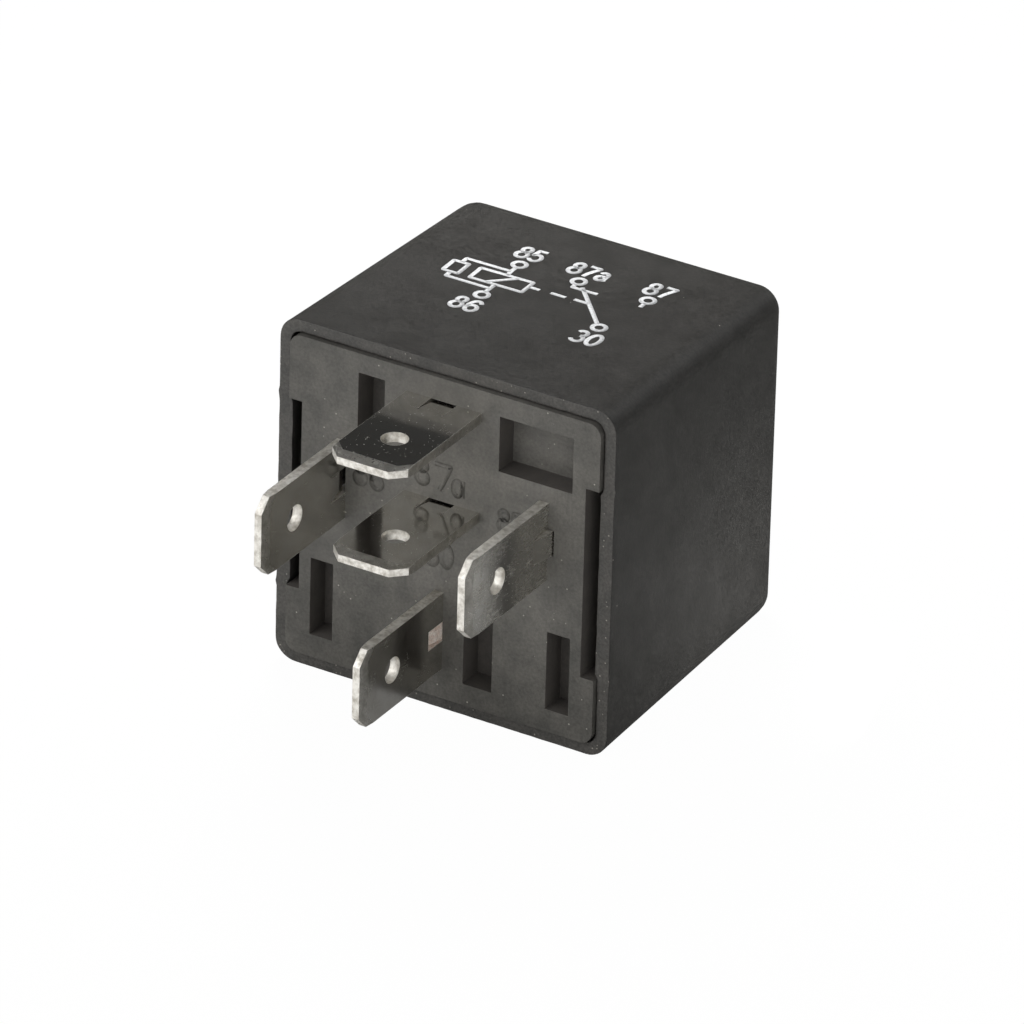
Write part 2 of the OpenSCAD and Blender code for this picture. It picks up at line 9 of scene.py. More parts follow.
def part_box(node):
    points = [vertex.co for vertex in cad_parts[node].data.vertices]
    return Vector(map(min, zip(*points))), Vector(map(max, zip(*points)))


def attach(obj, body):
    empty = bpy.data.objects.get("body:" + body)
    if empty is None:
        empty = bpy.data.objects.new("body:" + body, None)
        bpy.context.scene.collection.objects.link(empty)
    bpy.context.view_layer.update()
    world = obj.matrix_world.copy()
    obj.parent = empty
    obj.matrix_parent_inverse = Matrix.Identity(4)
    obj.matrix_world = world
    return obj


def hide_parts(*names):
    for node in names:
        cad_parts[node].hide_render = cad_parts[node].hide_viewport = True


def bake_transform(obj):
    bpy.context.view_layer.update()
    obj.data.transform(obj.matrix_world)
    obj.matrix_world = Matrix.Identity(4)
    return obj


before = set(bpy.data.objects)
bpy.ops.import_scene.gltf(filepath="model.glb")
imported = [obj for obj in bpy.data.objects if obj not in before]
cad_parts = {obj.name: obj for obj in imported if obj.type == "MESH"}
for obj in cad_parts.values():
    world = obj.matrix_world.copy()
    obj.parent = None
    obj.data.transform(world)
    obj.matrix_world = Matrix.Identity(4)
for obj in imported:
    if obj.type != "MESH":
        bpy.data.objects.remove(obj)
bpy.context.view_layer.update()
mm = 0.001
print("frame loaded:", len(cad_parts), "nodes")


def linearColour(hexValue, alpha=1.0):
    out = []
    for k in (1, 3, 5):
        c = int(hexValue[k:k + 2], 16) / 255
        out.append(c / 12.92 if c <= 0.04045 else ((c + 0.055) / 1.055) ** 2.4)
    return (*out, alpha)


def addNode(tree, kind, settings=None, inputs=None):
    node = tree.nodes.new(kind)
    for key, value in (settings or {}).items():
        setattr(node, key, value)
    for key, value in (inputs or {}).items():
        if isinstance(value, bpy.types.NodeSocket):
            tree.links.new(value, node.inputs[key])
        else:
            node.inputs[key].default_value = value
    return node


def newMaterial(name):
    mat = bpy.data.materials.new(name)
    mat.use_nodes = True
    tree = mat.node_tree
    tree.nodes.clear()
    shader = addNode(tree, "ShaderNodeBsdfPrincipled")
    addNode(tree, "ShaderNodeOutputMaterial", {}, {"Surface": shader.outputs[0]})
    coords = addNode(tree, "ShaderNodeTexCoord").outputs["Object"]
    return mat, tree, shader, coords


def perMm(size):  # texture scale for a feature of that many millimetres
    return 1 / (size * mm)


# Small round spots, at most one to a cell of that gap in mm, of which a share show
def scatteredSpots(tree, coords, gap, size, core, share, strength=1.0):
    cells = addNode(tree, "ShaderNodeTexVoronoi", {"feature": "F1"}, {"Vector": coords, "Scale": perMm(gap)})
    spot = addNode(tree, "ShaderNodeMapRange", {}, {
        "Value": cells.outputs["Distance"], "From Min": size / gap, "From Max": size * core / gap,
        "To Max": strength})
    chance = addNode(tree, "ShaderNodeSeparateColor", {}, {"Color": cells.outputs["Color"]})
    picked = addNode(tree, "ShaderNodeMath", {"operation": "LESS_THAN"}, {0: chance.outputs[0], 1: share})
    shown = addNode(tree, "ShaderNodeMath", {"operation": "MULTIPLY"}, {0: spot.outputs[0], 1: picked.outputs[0]})
    return shown.outputs[0]


# Moulded plastic: a fine eroded grain, soft cloudy patches, and pale specks where glass
# fibre or dust lies in the skin. "pale" is painted light, lightening the colour round a place: (middle, reach) in
# mm, gain.
def mouldedPlastic(name, look):
    mat, tree, shader, coords = newMaterial(name)
    cloud = addNode(tree, "ShaderNodeTexNoise", {}, {
        "Vector": coords, "Scale": perMm(look["cloudSize"]), "Detail": 5.0, "Roughness": 0.62})
    patch = addNode(tree, "ShaderNodeMapRange", {}, {
        "Value": cloud.outputs["Fac"], "From Min": 0.33, "From Max": 0.67})
    grain = addNode(tree, "ShaderNodeTexNoise", {}, {
        "Vector": coords, "Scale": perMm(look["grainSize"]), "Detail": 3.0, "Roughness": 0.7})
    body = addNode(tree, "ShaderNodeMix", {"data_type": "RGBA"}, {
        "Factor": patch.outputs[0], "A": linearColour(look["dark"]), "B": linearColour(look["light"])})
    fleck = scatteredSpots(tree, coords, look["speckGap"], look["speckSize"], 0.45,
                           look["speckShare"], look["speckMix"])
    # painted light: towards the middle of the "pale" place the colour is lifted by up to its gain
    middle, reach, gain = look.get("pale", ((0.0, 0.0, 0.0), 1.0, 1.0))
    away = addNode(tree, "ShaderNodeVectorMath", {"operation": "DISTANCE"}, {
        0: coords, 1: [v * mm for v in middle]})
    pale = addNode(tree, "ShaderNodeMapRange", {"interpolation_type": "SMOOTHSTEP"}, {
        "Value": away.outputs["Value"], "From Max": reach * mm, "To Min": gain, "To Max": 1.0})
    fine = addNode(tree, "ShaderNodeMapRange", {}, {
        "Value": grain.outputs["Fac"], "From Min": 0.3, "From Max": 0.7,
        "To Min": 1 - look["grainTone"], "To Max": 1 + look["grainTone"]})
    tone = addNode(tree, "ShaderNodeMath", {"operation": "MULTIPLY"}, {0: fine.outputs[0], 1: pale.outputs[0]})
    grained = addNode(tree, "ShaderNodeVectorMath", {"operation": "SCALE"}, {
        0: body.outputs[2], "Scale": tone.outputs[0]})
    skin = addNode(tree, "ShaderNodeMix", {"data_type": "RGBA"}, {
        "Factor": fleck, "A": grained.outputs[0], "B": linearColour(look["speck"])})
    rough = addNode(tree, "ShaderNodeMapRange", {}, {
        "Value": grain.outputs["Fac"], "From Min": 0.3, "From Max": 0.7,
        "To Min": look["roughness"][0], "To Max": look["roughness"][1]})
    bump = addNode(tree, "ShaderNodeBump", {}, {
        "Height": grain.outputs["Fac"], "Distance": look["grainDepth"] * mm, "Strength": look["bump"]})
    swell = addNode(tree, "ShaderNodeBump", {}, {
        "Height": cloud.outputs["Fac"], "Distance": look["swell"] * mm, "Strength": 1.0,
        "Normal": bump.outputs[0]})
    tree.links.new(skin.outputs[2], shader.inputs["Base Color"])
    tree.links.new(rough.outputs[0], shader.inputs["Roughness"])
    tree.links.new(swell.outputs[0], shader.inputs["Normal"])
    shader.inputs["IOR"].default_value = look["ior"]
    shader.inputs["Specular IOR Level"].default_value = look["sheen"]
    return mat


# Hair scratches, as the thin contours of a stretched noise, one set for each turn
def hairScratches(tree, coords, look):
    marks = None
    for turn in look["scratchTurns"]:
        across = addNode(tree, "ShaderNodeMapping", {}, {
            "Vector": coords, "Rotation": turn, "Scale": (9.0, 1.0, 9.0)})
        drift = addNode(tree, "ShaderNodeTexNoise", {}, {
            "Vector": across.outputs[0], "Scale": perMm(look["scratchLength"]), "Detail": 0.0})
        off = addNode(tree, "ShaderNodeMath", {"operation": "SUBTRACT"}, {0: drift.outputs["Fac"], 1: 0.5})
        away = addNode(tree, "ShaderNodeMath", {"operation": "ABSOLUTE"}, {0: off.outputs[0]})
        line = addNode(tree, "ShaderNodeMapRange", {}, {
            "Value": away.outputs[0], "From Min": look["scratchWidth"], "From Max": look["scratchWidth"] * 0.3})
        marks = line if marks is None else addNode(tree, "ShaderNodeMath", {"operation": "MAXIMUM"}, {
            0: marks.outputs[0], 1: line.outputs[0]})
    return marks.outputs[0]


# Plated or rolled metal: long fine grain, hazy handled patches, crossing scratches and pits.
# "markScatter" is how far a mark gives up the mirror for a dull white.
def finishedMetal(name, look):
    mat, tree, shader, coords = newMaterial(name)
    along = addNode(tree, "ShaderNodeMapping", {}, {"Vector": coords, "Scale": look["stretch"]})
    grain = addNode(tree, "ShaderNodeTexNoise", {}, {
        "Vector": along.outputs[0], "Scale": perMm(look["grainSize"]), "Detail": 3.0, "Roughness": 0.65})
    haze = addNode(tree, "ShaderNodeTexNoise", {}, {
        "Vector": coords, "Scale": perMm(look["hazeSize"]), "Detail": 4.0, "Roughness": 0.6})
    patch = addNode(tree, "ShaderNodeMapRange", {}, {
        "Value": haze.outputs["Fac"], "From Min": 0.38, "From Max": 0.66})
    tint = addNode(tree, "ShaderNodeMix", {"data_type": "RGBA"}, {
        "Factor": patch.outputs[0], "A": linearColour(look["bright"]), "B": linearColour(look["dull"])})
    fine = addNode(tree, "ShaderNodeMapRange", {}, {
        "Value": grain.outputs["Fac"], "From Min": 0.35, "From Max": 0.7,
        "To Min": look["roughness"][0], "To Max": look["roughness"][1]})
    rough = addNode(tree, "ShaderNodeMath", {"operation": "MULTIPLY_ADD", "use_clamp": True}, {
        0: patch.outputs[0], 1: look["hazeRough"], 2: fine.outputs[0]})
    bump = addNode(tree, "ShaderNodeBump", {}, {
        "Height": grain.outputs["Fac"], "Distance": look["grainDepth"] * mm, "Strength": look["bump"]})
    gate = addNode(tree, "ShaderNodeMapRange", {}, {
        "Value": haze.outputs["Fac"], "From Min": look["markStart"], "From Max": look["markStart"] + 0.16})
    scratches = addNode(tree, "ShaderNodeMath", {"operation": "MULTIPLY"}, {
        0: hairScratches(tree, coords, look), 1: gate.outputs[0]})
    pits = scatteredSpots(tree, coords, look["pitGap"], look["pitSize"], 0.4, look["pitShare"])
    worn = addNode(tree, "ShaderNodeMath", {"operation": "MAXIMUM"}, {0: scratches.outputs[0], 1: pits})
    marked = addNode(tree, "ShaderNodeMath", {"operation": "MULTIPLY_ADD", "use_clamp": True}, {
        0: worn.outputs[0], 1: look["markRough"], 2: rough.outputs[0]})
    dent = addNode(tree, "ShaderNodeBump", {}, {
        "Height": worn.outputs[0], "Distance": look["markDepth"] * mm, "Strength": 1.0,
        "Normal": bump.outputs[0]})
    mirror = addNode(tree, "ShaderNodeMath", {"operation": "MULTIPLY_ADD", "use_clamp": True}, {
        0: worn.outputs[0], 1: -look["markScatter"], 2: look["metallic"]})
    tree.links.new(tint.outputs[2], shader.inputs["Base Color"])
    tree.links.new(marked.outputs[0], shader.inputs["Roughness"])
    tree.links.new(mirror.outputs[0], shader.inputs["Metallic"])
    tree.links.new(dent.outputs[0], shader.inputs["Normal"])
    return mat


plasticLook = {
    "grainSize": 0.2, "grainTone": 0.2, "grainDepth": 0.01, "bump": 0.5, "swell": 0.02, "ior": 1.55,
    "speckGap": 0.5, "speckSize": 0.06, "speckMix": 0.5}
# Glass-filled PBT from a spark-eroded mould: charcoal, dry and even, with a soft edge sheen
coverPlastic = mouldedPlastic("glassFilledPbtBlack", plasticLook | {
    "dark": "#2c2b29", "light": "#343331", "speck": "#b5b0a6", "cloudSize": 2.6, "grainSize": 0.26,
    "grainTone": 0.45, "grainDepth": 0.015, "swell": 0.01, "roughness": (0.5, 0.66), "sheen": 0.35,
    "speckGap": 0.7, "speckShare": 0.03, "speckMix": 0.8})
# The cover's rim, shut off against polished steel: smoother, and its colour painted lighter than the cover's,
# painted light so that it looks lit as the base does
rimPlasticPaintedLight = mouldedPlastic("glassFilledPbtShutOffPaintedLight", plasticLook | {
    "dark": "#434240", "light": "#504e4b", "speck": "#a8a39a", "cloudSize": 1.6, "grainTone": 0.25,
    "swell": 0.03, "roughness": (0.34, 0.5), "sheen": 0.25, "speckGap": 0.4, "speckSize": 0.07,
    "speckShare": 0.3, "speckMix": 0.8})
# Glass-filled nylon from a smoother mould: a shade lighter, shinier, dusted with pale fibre ends. Its colour is
# painted lighter in a broad pool between the blades: painted light for what the blades bounce onto it
basePlastic = mouldedPlastic("glassFilledNylonGrey", plasticLook | {
    "dark": "#4a4946", "light": "#5b5955", "speck": "#c9c5ba", "cloudSize": 2.4, "grainSize": 0.25,
    "grainDepth": 0.012, "roughness": (0.3, 0.44), "pale": ((1.5, 0.0, 2.5), 18.0, 1.9), "sheen": 0.22,
    "speckSize": 0.075, "speckShare": 0.13, "speckMix": 0.6})
# The same nylon down in the slots, where the mould was left rough: dry and even
deepPlastic = mouldedPlastic("glassFilledNylonUnpolished", plasticLook | {
    "dark": "#4b4845", "light": "#54504c", "speck": "#77736b", "cloudSize": 1.9, "roughness": (0.6, 0.8),
    "sheen": 0.4, "speckGap": 0.6, "speckShare": 0.05})
# Natural PBT of the coil former: cream and waxy
bobbinPlastic = mouldedPlastic("naturalPbtCream", plasticLook | {
    "dark": "#b3a477", "light": "#cdc096", "speck": "#e6ddc0", "cloudSize": 2.2, "grainTone": 0.05,
    "grainDepth": 0.005, "bump": 0.4, "swell": 0.015, "roughness": (0.38, 0.5), "ior": 1.5, "sheen": 0.5,
    "speckSize": 0.04, "speckShare": 0.04, "speckMix": 0.4})
# Bright tin plate over brass: a near mirror, with handling haze, hair scratches and dust
tinLook = {
    "bright": "#e6e4de", "dull": "#d6d3cb", "stretch": (1.0, 0.18, 1.0), "grainSize": 0.09,
    "grainDepth": 0.0002, "bump": 0.5, "hazeSize": 2.2, "roughness": (0.08, 0.14), "hazeRough": 0.05,
    "scratchTurns": ((0.0, 0.0, 0.4), (0.0, 0.0, -0.9)), "scratchLength": 1.6, "scratchWidth": 0.004,
    "markStart": 0.55, "markRough": 0.3, "markDepth": 0.0002, "markScatter": 0.5,
    "pitGap": 0.2, "pitSize": 0.035, "pitShare": 0.2, "metallic": 1.0}
tinPlate = finishedMetal("brightTinPlate", tinLook)
# The same plate, hazier where fingers have dulled it
hazyTin = finishedMetal("handledTinPlate", tinLook | {"roughness": (0.13, 0.21), "hazeRough": 0.07})
# The same plate after many insertions: its scratches cross and hold the light
wornTin = finishedMetal("rubbedTinPlate", tinLook | {
    "scratchTurns": ((0.5, 0.0, 0.0), (-0.7, 0.0, 0.0), (1.3, 0.0, 0.0)), "scratchWidth": 0.008,
    "scratchLength": 2.2, "roughness": (0.17, 0.26), "markStart": 0.48, "hazeRough": 0.08,
    "markDepth": 0.0003, "markScatter": 0.65, "pitShare": 0.3})
# Coined bevel at the tip: pressed rough over the plate, mottled and duller than the flat
coinedTin = finishedMetal("coinedTinBevel", tinLook | {
    "bright": "#dedbd4", "dull": "#b9b6ae", "stretch": (1.0, 1.0, 1.0), "grainSize": 0.12, "grainDepth": 0.006,
    "hazeSize": 0.7, "roughness": (0.24, 0.36), "hazeRough": 0.08, "pitShare": 0.4,
    "pitSize": 0.07, "metallic": 0.94, "markScatter": 0.7})
# Torn metal where the lance sheared: the brass shows pinkish through the broken plate
tornBrass = mouldedPlastic("tornBrassUnderTin", plasticLook | {
    "dark": "#d9c0b0", "light": "#fff6ee", "speck": "#fff6ea", "cloudSize": 0.35, "grainSize": 0.12,
    "grainTone": 0.3, "grainDepth": 0.03, "bump": 0.8, "roughness": (0.3, 0.5), "ior": 1.8, "sheen": 0.8,
    "speckGap": 0.3, "speckSize": 0.07, "speckShare": 0.3, "speckMix": 0.7})
# Punched edge and tip of the strip: torn, so they scatter a white light
punchedEdge = finishedMetal("punchedTinEdge", tinLook | {
    "bright": "#efece5", "dull": "#b8b3a9", "stretch": (1.0, 0.5, 1.0), "grainSize": 0.12,
    "grainDepth": 0.012, "bump": 0.7, "hazeSize": 0.5, "roughness": (0.34, 0.5), "hazeRough": 0.08,
    "scratchTurns": ((0.3, 0.0, 1.1),), "scratchLength": 0.8, "scratchWidth": 0.02, "markStart": 0.5,
    "pitSize": 0.08, "pitShare": 0.4, "markRough": 0.15, "markDepth": 0.006, "metallic": 0.68})
# Zinc-plated steel strip: satin grey with the faint lines of rolling
steelLook = tinLook | {
    "bright": "#b4b4ae", "dull": "#9b9c97", "grainSize": 0.1, "grainDepth": 0.003,
    "hazeSize": 2.0, "roughness": (0.28, 0.42), "hazeRough": 0.08, "scratchWidth": 0.01,
    "markRough": 0.15, "markDepth": 0.0015}
zincSteel = finishedMetal("zincPlatedSteel", steelLook)
# Annealed soft iron under thin nickel: warmer and a little cloudy
softIron = finishedMetal("nickelledSoftIron", steelLook | {
    "bright": "#aaa79e", "dull": "#8f8c83", "stretch": (1.0, 1.0, 0.25), "hazeSize": 1.6})
# Rivet heads: formed by a punch, bright on the crown
rivetSteel = finishedMetal("headedRivetSteel", steelLook | {
    "bright": "#bdbab1", "dull": "#a29f96", "stretch": (1.0, 1.0, 1.0), "hazeSize": 0.8,
    "roughness": (0.2, 0.34)})
# Rolled tin bronze: warm brown-gold, grain along the strip
springBronze = finishedMetal("rolledTinBronze", steelLook | {
    "bright": "#c99a63", "dull": "#ae7f4d", "stretch": (1.0, 1.0, 0.12), "roughness": (0.2, 0.32)})
# Silver nickel of the contacts: pale, faintly frosted by heading
contactSilver = finishedMetal("headedSilverNickel", steelLook | {
    "bright": "#dedbd4", "dull": "#c6c2b9", "stretch": (1.0, 1.0, 1.0), "hazeSize": 0.7,
    "roughness": (0.2, 0.32)})
# Soft solder: silver-grey skin, smooth and slightly wrinkled
softSolder = finishedMetal("softSolder", steelLook | {
    "bright": "#c2c3c0", "dull": "#a5a6a3", "stretch": (1.0, 1.0, 1.0), "grainSize": 0.25,
    "grainDepth": 0.008, "hazeSize": 0.6, "roughness": (0.16, 0.3)})
# Enamelled copper: orange-brown under a clear varnish
enamelCopper = finishedMetal("enamelledCopper", steelLook | {
    "bright": "#b3572a", "dull": "#8f3f1c", "stretch": (1.0, 1.0, 1.0), "grainDepth": 0.001,
    "hazeSize": 1.2, "roughness": (0.18, 0.28), "pitShare": 0.02})
varnish = enamelCopper.node_tree.nodes["Principled BSDF"].inputs
varnish["Coat Weight"].default_value = 0.6
varnish["Coat Roughness"].default_value = 0.12


# Polyester tape: amber film, glossy, lightly wrinkled round the coil
def wrinkledTape(look):
    mat, tree, shader, coords = newMaterial("polyesterTapeAmber")
    wrinkle = addNode(tree, "ShaderNodeTexNoise", {}, {
        "Vector": coords, "Scale": perMm(look["wrinkleSize"]), "Detail": 3.0, "Distortion": 0.6})
    tone = addNode(tree, "ShaderNodeMix", {"data_type": "RGBA"}, {
        "Factor": wrinkle.outputs["Fac"], "A": linearColour(look["dark"]), "B": linearColour(look["light"])})
    bump = addNode(tree, "ShaderNodeBump", {}, {
        "Height": wrinkle.outputs["Fac"], "Distance": look["wrinkleDepth"] * mm, "Strength": 0.6})
    tree.links.new(tone.outputs[2], shader.inputs["Base Color"])
    tree.links.new(bump.outputs[0], shader.inputs["Normal"])
    shader.inputs["Roughness"].default_value = look["roughness"]
    shader.inputs["IOR"].default_value = look["ior"]
    return mat


# Resistor lacquer: blue-grey with four painted code rings at set places along X
def ringedLacquer(look):
    mat, tree, shader, coords = newMaterial("resistorLacquerRinged")
    x = addNode(tree, "ShaderNodeSeparateXYZ", {}, {"Vector": coords}).outputs[0]
    mottle = addNode(tree, "ShaderNodeTexNoise", {}, {
        "Vector": coords, "Scale": perMm(look["mottleSize"]), "Detail": 3.0})
    colour = addNode(tree, "ShaderNodeMix", {"data_type": "RGBA"}, {
        "Factor": mottle.outputs["Fac"], "A": linearColour(look["dark"]),
        "B": linearColour(look["light"])}).outputs[2]
    for place, hexValue in look["rings"]:
        away = addNode(tree, "ShaderNodeMath", {"operation": "SUBTRACT"}, {0: x, 1: place * mm})
        gap = addNode(tree, "ShaderNodeMath", {"operation": "ABSOLUTE"}, {0: away.outputs[0]})
        inside = addNode(tree, "ShaderNodeMath", {"operation": "LESS_THAN"}, {
            0: gap.outputs[0], 1: look["ringWidth"] / 2 * mm})
        colour = addNode(tree, "ShaderNodeMix", {"data_type": "RGBA"}, {
            "Factor": inside.outputs[0], "A": colour, "B": linearColour(hexValue)}).outputs[2]
    bump = addNode(tree, "ShaderNodeBump", {}, {
        "Height": mottle.outputs["Fac"], "Distance": look["mottleDepth"] * mm, "Strength": 0.5})
    tree.links.new(colour, shader.inputs["Base Color"])
    tree.links.new(bump.outputs[0], shader.inputs["Normal"])
    shader.inputs["Roughness"].default_value = look["roughness"]
    return mat


# Pad-printing ink: flat pale grey film, a little thinner where the grain below stands up
def paddedInk(look):
    mat, tree, shader, coords = newMaterial("padPrintInkGrey")
    film = addNode(tree, "ShaderNodeTexNoise", {}, {
        "Vector": coords, "Scale": perMm(look["grainSize"]), "Detail": 3.0})
    thick = addNode(tree, "ShaderNodeMapRange", {}, {
        "Value": film.outputs["Fac"], "From Min": 0.35, "From Max": 0.6})
    tone = addNode(tree, "ShaderNodeMix", {"data_type": "RGBA"}, {
        "Factor": thick.outputs[0], "A": linearColour(look["thin"]), "B": linearColour(look["full"])})
    tree.links.new(tone.outputs[2], shader.inputs["Base Color"])
    shader.inputs["Roughness"].default_value = look["roughness"]
    return mat


tapeFilm = wrinkledTape({
    "dark": "#9a6a1c", "light": "#c0902f", "wrinkleSize": 1.3, "wrinkleDepth": 0.03,
    "roughness": 0.2, "ior": 1.57})
resistorLacquer = ringedLacquer({
    "dark": "#4f6d7c", "light": "#64828f", "mottleSize": 0.7, "mottleDepth": 0.02, "roughness": 0.28,
    "ringWidth": 0.42, "rings": ((-2.3, "#2b4fa0"), (-1.2, "#7d7f82"), (-0.4, "#5a3416"), (2.3, "#a8842c"))})
printInk = paddedInk({"thin": "#b9babb", "full": "#d2d3d4", "grainSize": 0.16, "roughness": 0.62})
print("materials made:", len(bpy.data.materials))


def placedObject(name, data):  # a mesh, camera or lamp put in the scene
    obj = bpy.data.objects.new(name, data)
    bpy.context.scene.collection.objects.link(obj)
    return obj


def settled(obj):  # the object's modifiers made into plain mesh
    graph = bpy.context.evaluated_depsgraph_get()
    graph.update()
    mesh = bpy.data.meshes.new_from_object(obj.evaluated_get(graph))
    obj.modifiers.clear()
    obj.data = mesh
    return obj


def shadeSmooth(mesh, angle):
    mesh.shade_smooth()
    mesh.set_sharp_from_angle(angle=math.radians(angle))


def clearNormals(mesh):  # an imported mesh brings its own, which would fight the bevels
    if "custom_normal" in mesh.attributes:
        mesh.attributes.remove(mesh.attributes["custom_normal"])


def evenNormals(obj, angle):  # broad faces rule the shading, so flats stay flat up to their bevels
    shadeSmooth(obj.data, angle)
    even = obj.modifiers.new("evenNormals", "WEIGHTED_NORMAL")
    even.mode, even.weight, even.keep_sharp = "FACE_AREA", 90, True
    settled(obj)


# A CAD node's shape with its edges broken to a width in mm. Edges sharper than angle are
# broken, faces within dissolve degrees become one, and adjust moves a point given in mm.
def brokenEdges(node, name, width, material, steps=2, angle=25, dissolve=0.4, adjust=None):
    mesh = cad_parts[node].data.copy()
    mesh.materials.clear()
    mesh.materials.append(material)
    bm = bmesh.new()
    bm.from_mesh(mesh)
    bmesh.ops.remove_doubles(bm, verts=bm.verts, dist=1e-6)
    if adjust:
        for v in bm.verts:
            v.co = Vector(adjust(*(v.co / mm))) * mm
    bmesh.ops.dissolve_limit(bm, angle_limit=math.radians(dissolve), verts=bm.verts, edges=bm.edges)
    bm.to_mesh(mesh)
    bm.free()
    clearNormals(mesh)
    obj = placedObject(name, mesh)
    bevel = obj.modifiers.new("edges", "BEVEL")
    bevel.width, bevel.segments = width * mm, steps
    bevel.limit_method, bevel.angle_limit = "ANGLE", math.radians(angle)
    settled(obj)
    evenNormals(obj, 38)
    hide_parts(node)
    return obj


# Housing cover: a drafted cup swept ring by ring from its closed end, out over the rim, and back
coverLook = {
    "width": 28.0, "rimY": 0.35, "endY": 25.65, "wall": 0.85, "endWall": 1.1, "draftSide": 1.0, "draftTop": 1.15,
    "corner": 1.7, "rimCorner": 1.1, "innerCorner": 1.0, "endRound": 2.0, "innerEndRound": 1.4,
    "lip": 0.1, "innerEdge": 0.06,
    "arcSteps": 10, "sideSteps": 60, "insideRings": (18.0, 12.0, 6.0, 3.0, 1.2), "rimShares": (0.85, 0.6, 0.35),
    "outsideRings": (1.1, 1.8, 3.0, 5.0, 8.0, 12.0, 16.0, 20.0, 23.3),
    "rimReach": 1.3, "rimFade": 0.8, "rimPainted": 0.9, "flashHeight": 0.03, "longWave": 0.9, "shortWave": 2.7,
    "shortShare": 0.6, "sideWave": 1.6, "creep": 0.145, "creepMean": 0.9, "creepVaried": 0.45,
    "creepWave": 0.8, "creepBand": 0.6, "creepSpared": 0.3, "sparedAt": 9.0, "sparedOver": 4.0,
    "nubZ": 7.65, "nubHeight": 0.14, "nubWidth": 0.22, "nubBand": 0.5, "padDepth": 0.2, "padBand": 1.0,
    "lugLength": 7.0, "lugTip": 12.3, "lugRoot": 0.25, "lugY": (1.2, 2.4, 3.15),
}


# One ring round the cup: four corner arcs and the stops along the sides between them
def coverRing(halfX, halfZ, radius, y, look):
    ring = []
    corners = ((1, 1), (1, -1), (-1, -1), (-1, 1))

    def onCorner(k, degrees):
        sx, sz = corners[k % 4]
        a = math.radians(degrees)
        return (sx * (halfX - radius) + radius * math.cos(a), y, sz * (halfZ - radius) + radius * math.sin(a))

    for k, start in enumerate((90, 0, -90, 180)):
        ring += [onCorner(k, start - 90 * s / look["arcSteps"]) for s in range(look["arcSteps"] + 1)]
        p, q = ring[-1], onCorner(k + 1, start - 90)
        for s in range(1, look["sideSteps"]):
            f = s / look["sideSteps"]
            ring.append((p[0] + (q[0] - p[0]) * f, y, p[2] + (q[2] - p[2]) * f))
    return ring


def coverRows(look):
    w, rimY, endY, wall, lip = look["width"] / 2, look["rimY"], look["endY"], look["wall"], look["lip"]
    r, innerR, edge = look["corner"], look["innerCorner"], look["innerEdge"]
    tanX, tanZ = (math.tan(math.radians(look[k])) for k in ("draftSide", "draftTop"))
    rows = []

    def ringAt(y, inset, radius):
        d = y - rimY
        rows.append(coverRing(w - d * tanX - inset, w - d * tanZ - inset, max(radius, 0.0005), y, look))

    def quarter(steps):  # how far a quarter circle has risen and fallen in at each step
        turns = [math.radians(90 * k / steps) for k in range(steps + 1)]
        return [(math.sin(a), 1 - math.cos(a)) for a in turns]

    innerEnd, bend = endY - look["endWall"], look["innerEndRound"]
    for rise, fall in reversed(quarter(6)):
        ringAt(innerEnd - bend + bend * rise, wall + bend * fall, bend * (1 - fall))
    for y in look["insideRings"]:
        ringAt(y, wall, innerR)
    for rise, fall in quarter(2):  # broken inner edge of the rim
        ringAt(rimY + edge * (1 - rise), wall - edge * fall, innerR + edge * fall)
    for share in look["rimShares"]:
        ringAt(rimY, lip + (wall - edge - lip) * share, r - lip - (r - lip - look["rimCorner"]) * share)
    for rise, fall in quarter(4):  # rolled outer edge
        ringAt(rimY + lip * fall, lip * (1 - rise), r - lip * (1 - rise))
    endR = look["endRound"]
    for y in look["outsideRings"]:
        ringAt(y, 0, r + (endR - r) * y / endY)
    for rise, fall in quarter(8):
        ringAt(endY - endR + endR * rise, endR * fall, endR * (1 - fall))
    return rows


def ripple(x, z, wave, layer):
    return noise.noise(Vector((x * wave, layer, z * wave)))


# The rim is a little uneven, flash stands up where the side cores met it, and the wall
# grows thicker beside the latch slots. Sizes are still in mm here.
def unevenRim(bm, look):
    w = look["width"] / 2
    for v in bm.verts:
        x, y, z = v.co
        if y > look["rimReach"]:
            continue
        fade = max(0.0, 1 - max(0.0, y - look["rimY"]) / look["rimFade"])
        outward = Vector((x, 0, z)).normalized()
        rise = ripple(x, z, look["longWave"], 3.1) + look["shortShare"] * ripple(x, z, look["shortWave"], 8.2)
        swell = look["shortShare"] * ripple(x, z, look["sideWave"], 5.5)
        v.co.y += look["flashHeight"] * rise * fade
        v.co += outward * look["flashHeight"] * swell * fade
        if max(abs(x), abs(z)) < w - look["creepBand"]:  # the shut-off side creeps in over the gap
            topRight = 0.5 + 0.5 * math.tanh((x + z - look["sparedAt"]) / look["sparedOver"])  # least there
            share = look["creepMean"] + look["creepVaried"] * ripple(x, z, look["creepWave"], 1.7)
            v.co -= outward * look["creep"] * (1 - look["creepSpared"] * topRight) * share * fade
        if abs(x) > w - look["nubBand"]:  # witness marks of the side cores
            for end in (-look["nubZ"], look["nubZ"]):
                bulge = math.exp(-((z - end) / look["nubWidth"]) ** 2) * fade
                v.co.x += math.copysign(look["nubHeight"] * bulge, x)
        elif abs(x) > w - look["padBand"] and abs(z) < look["nubZ"]:
            v.co.x -= math.copysign(look["padDepth"], x)


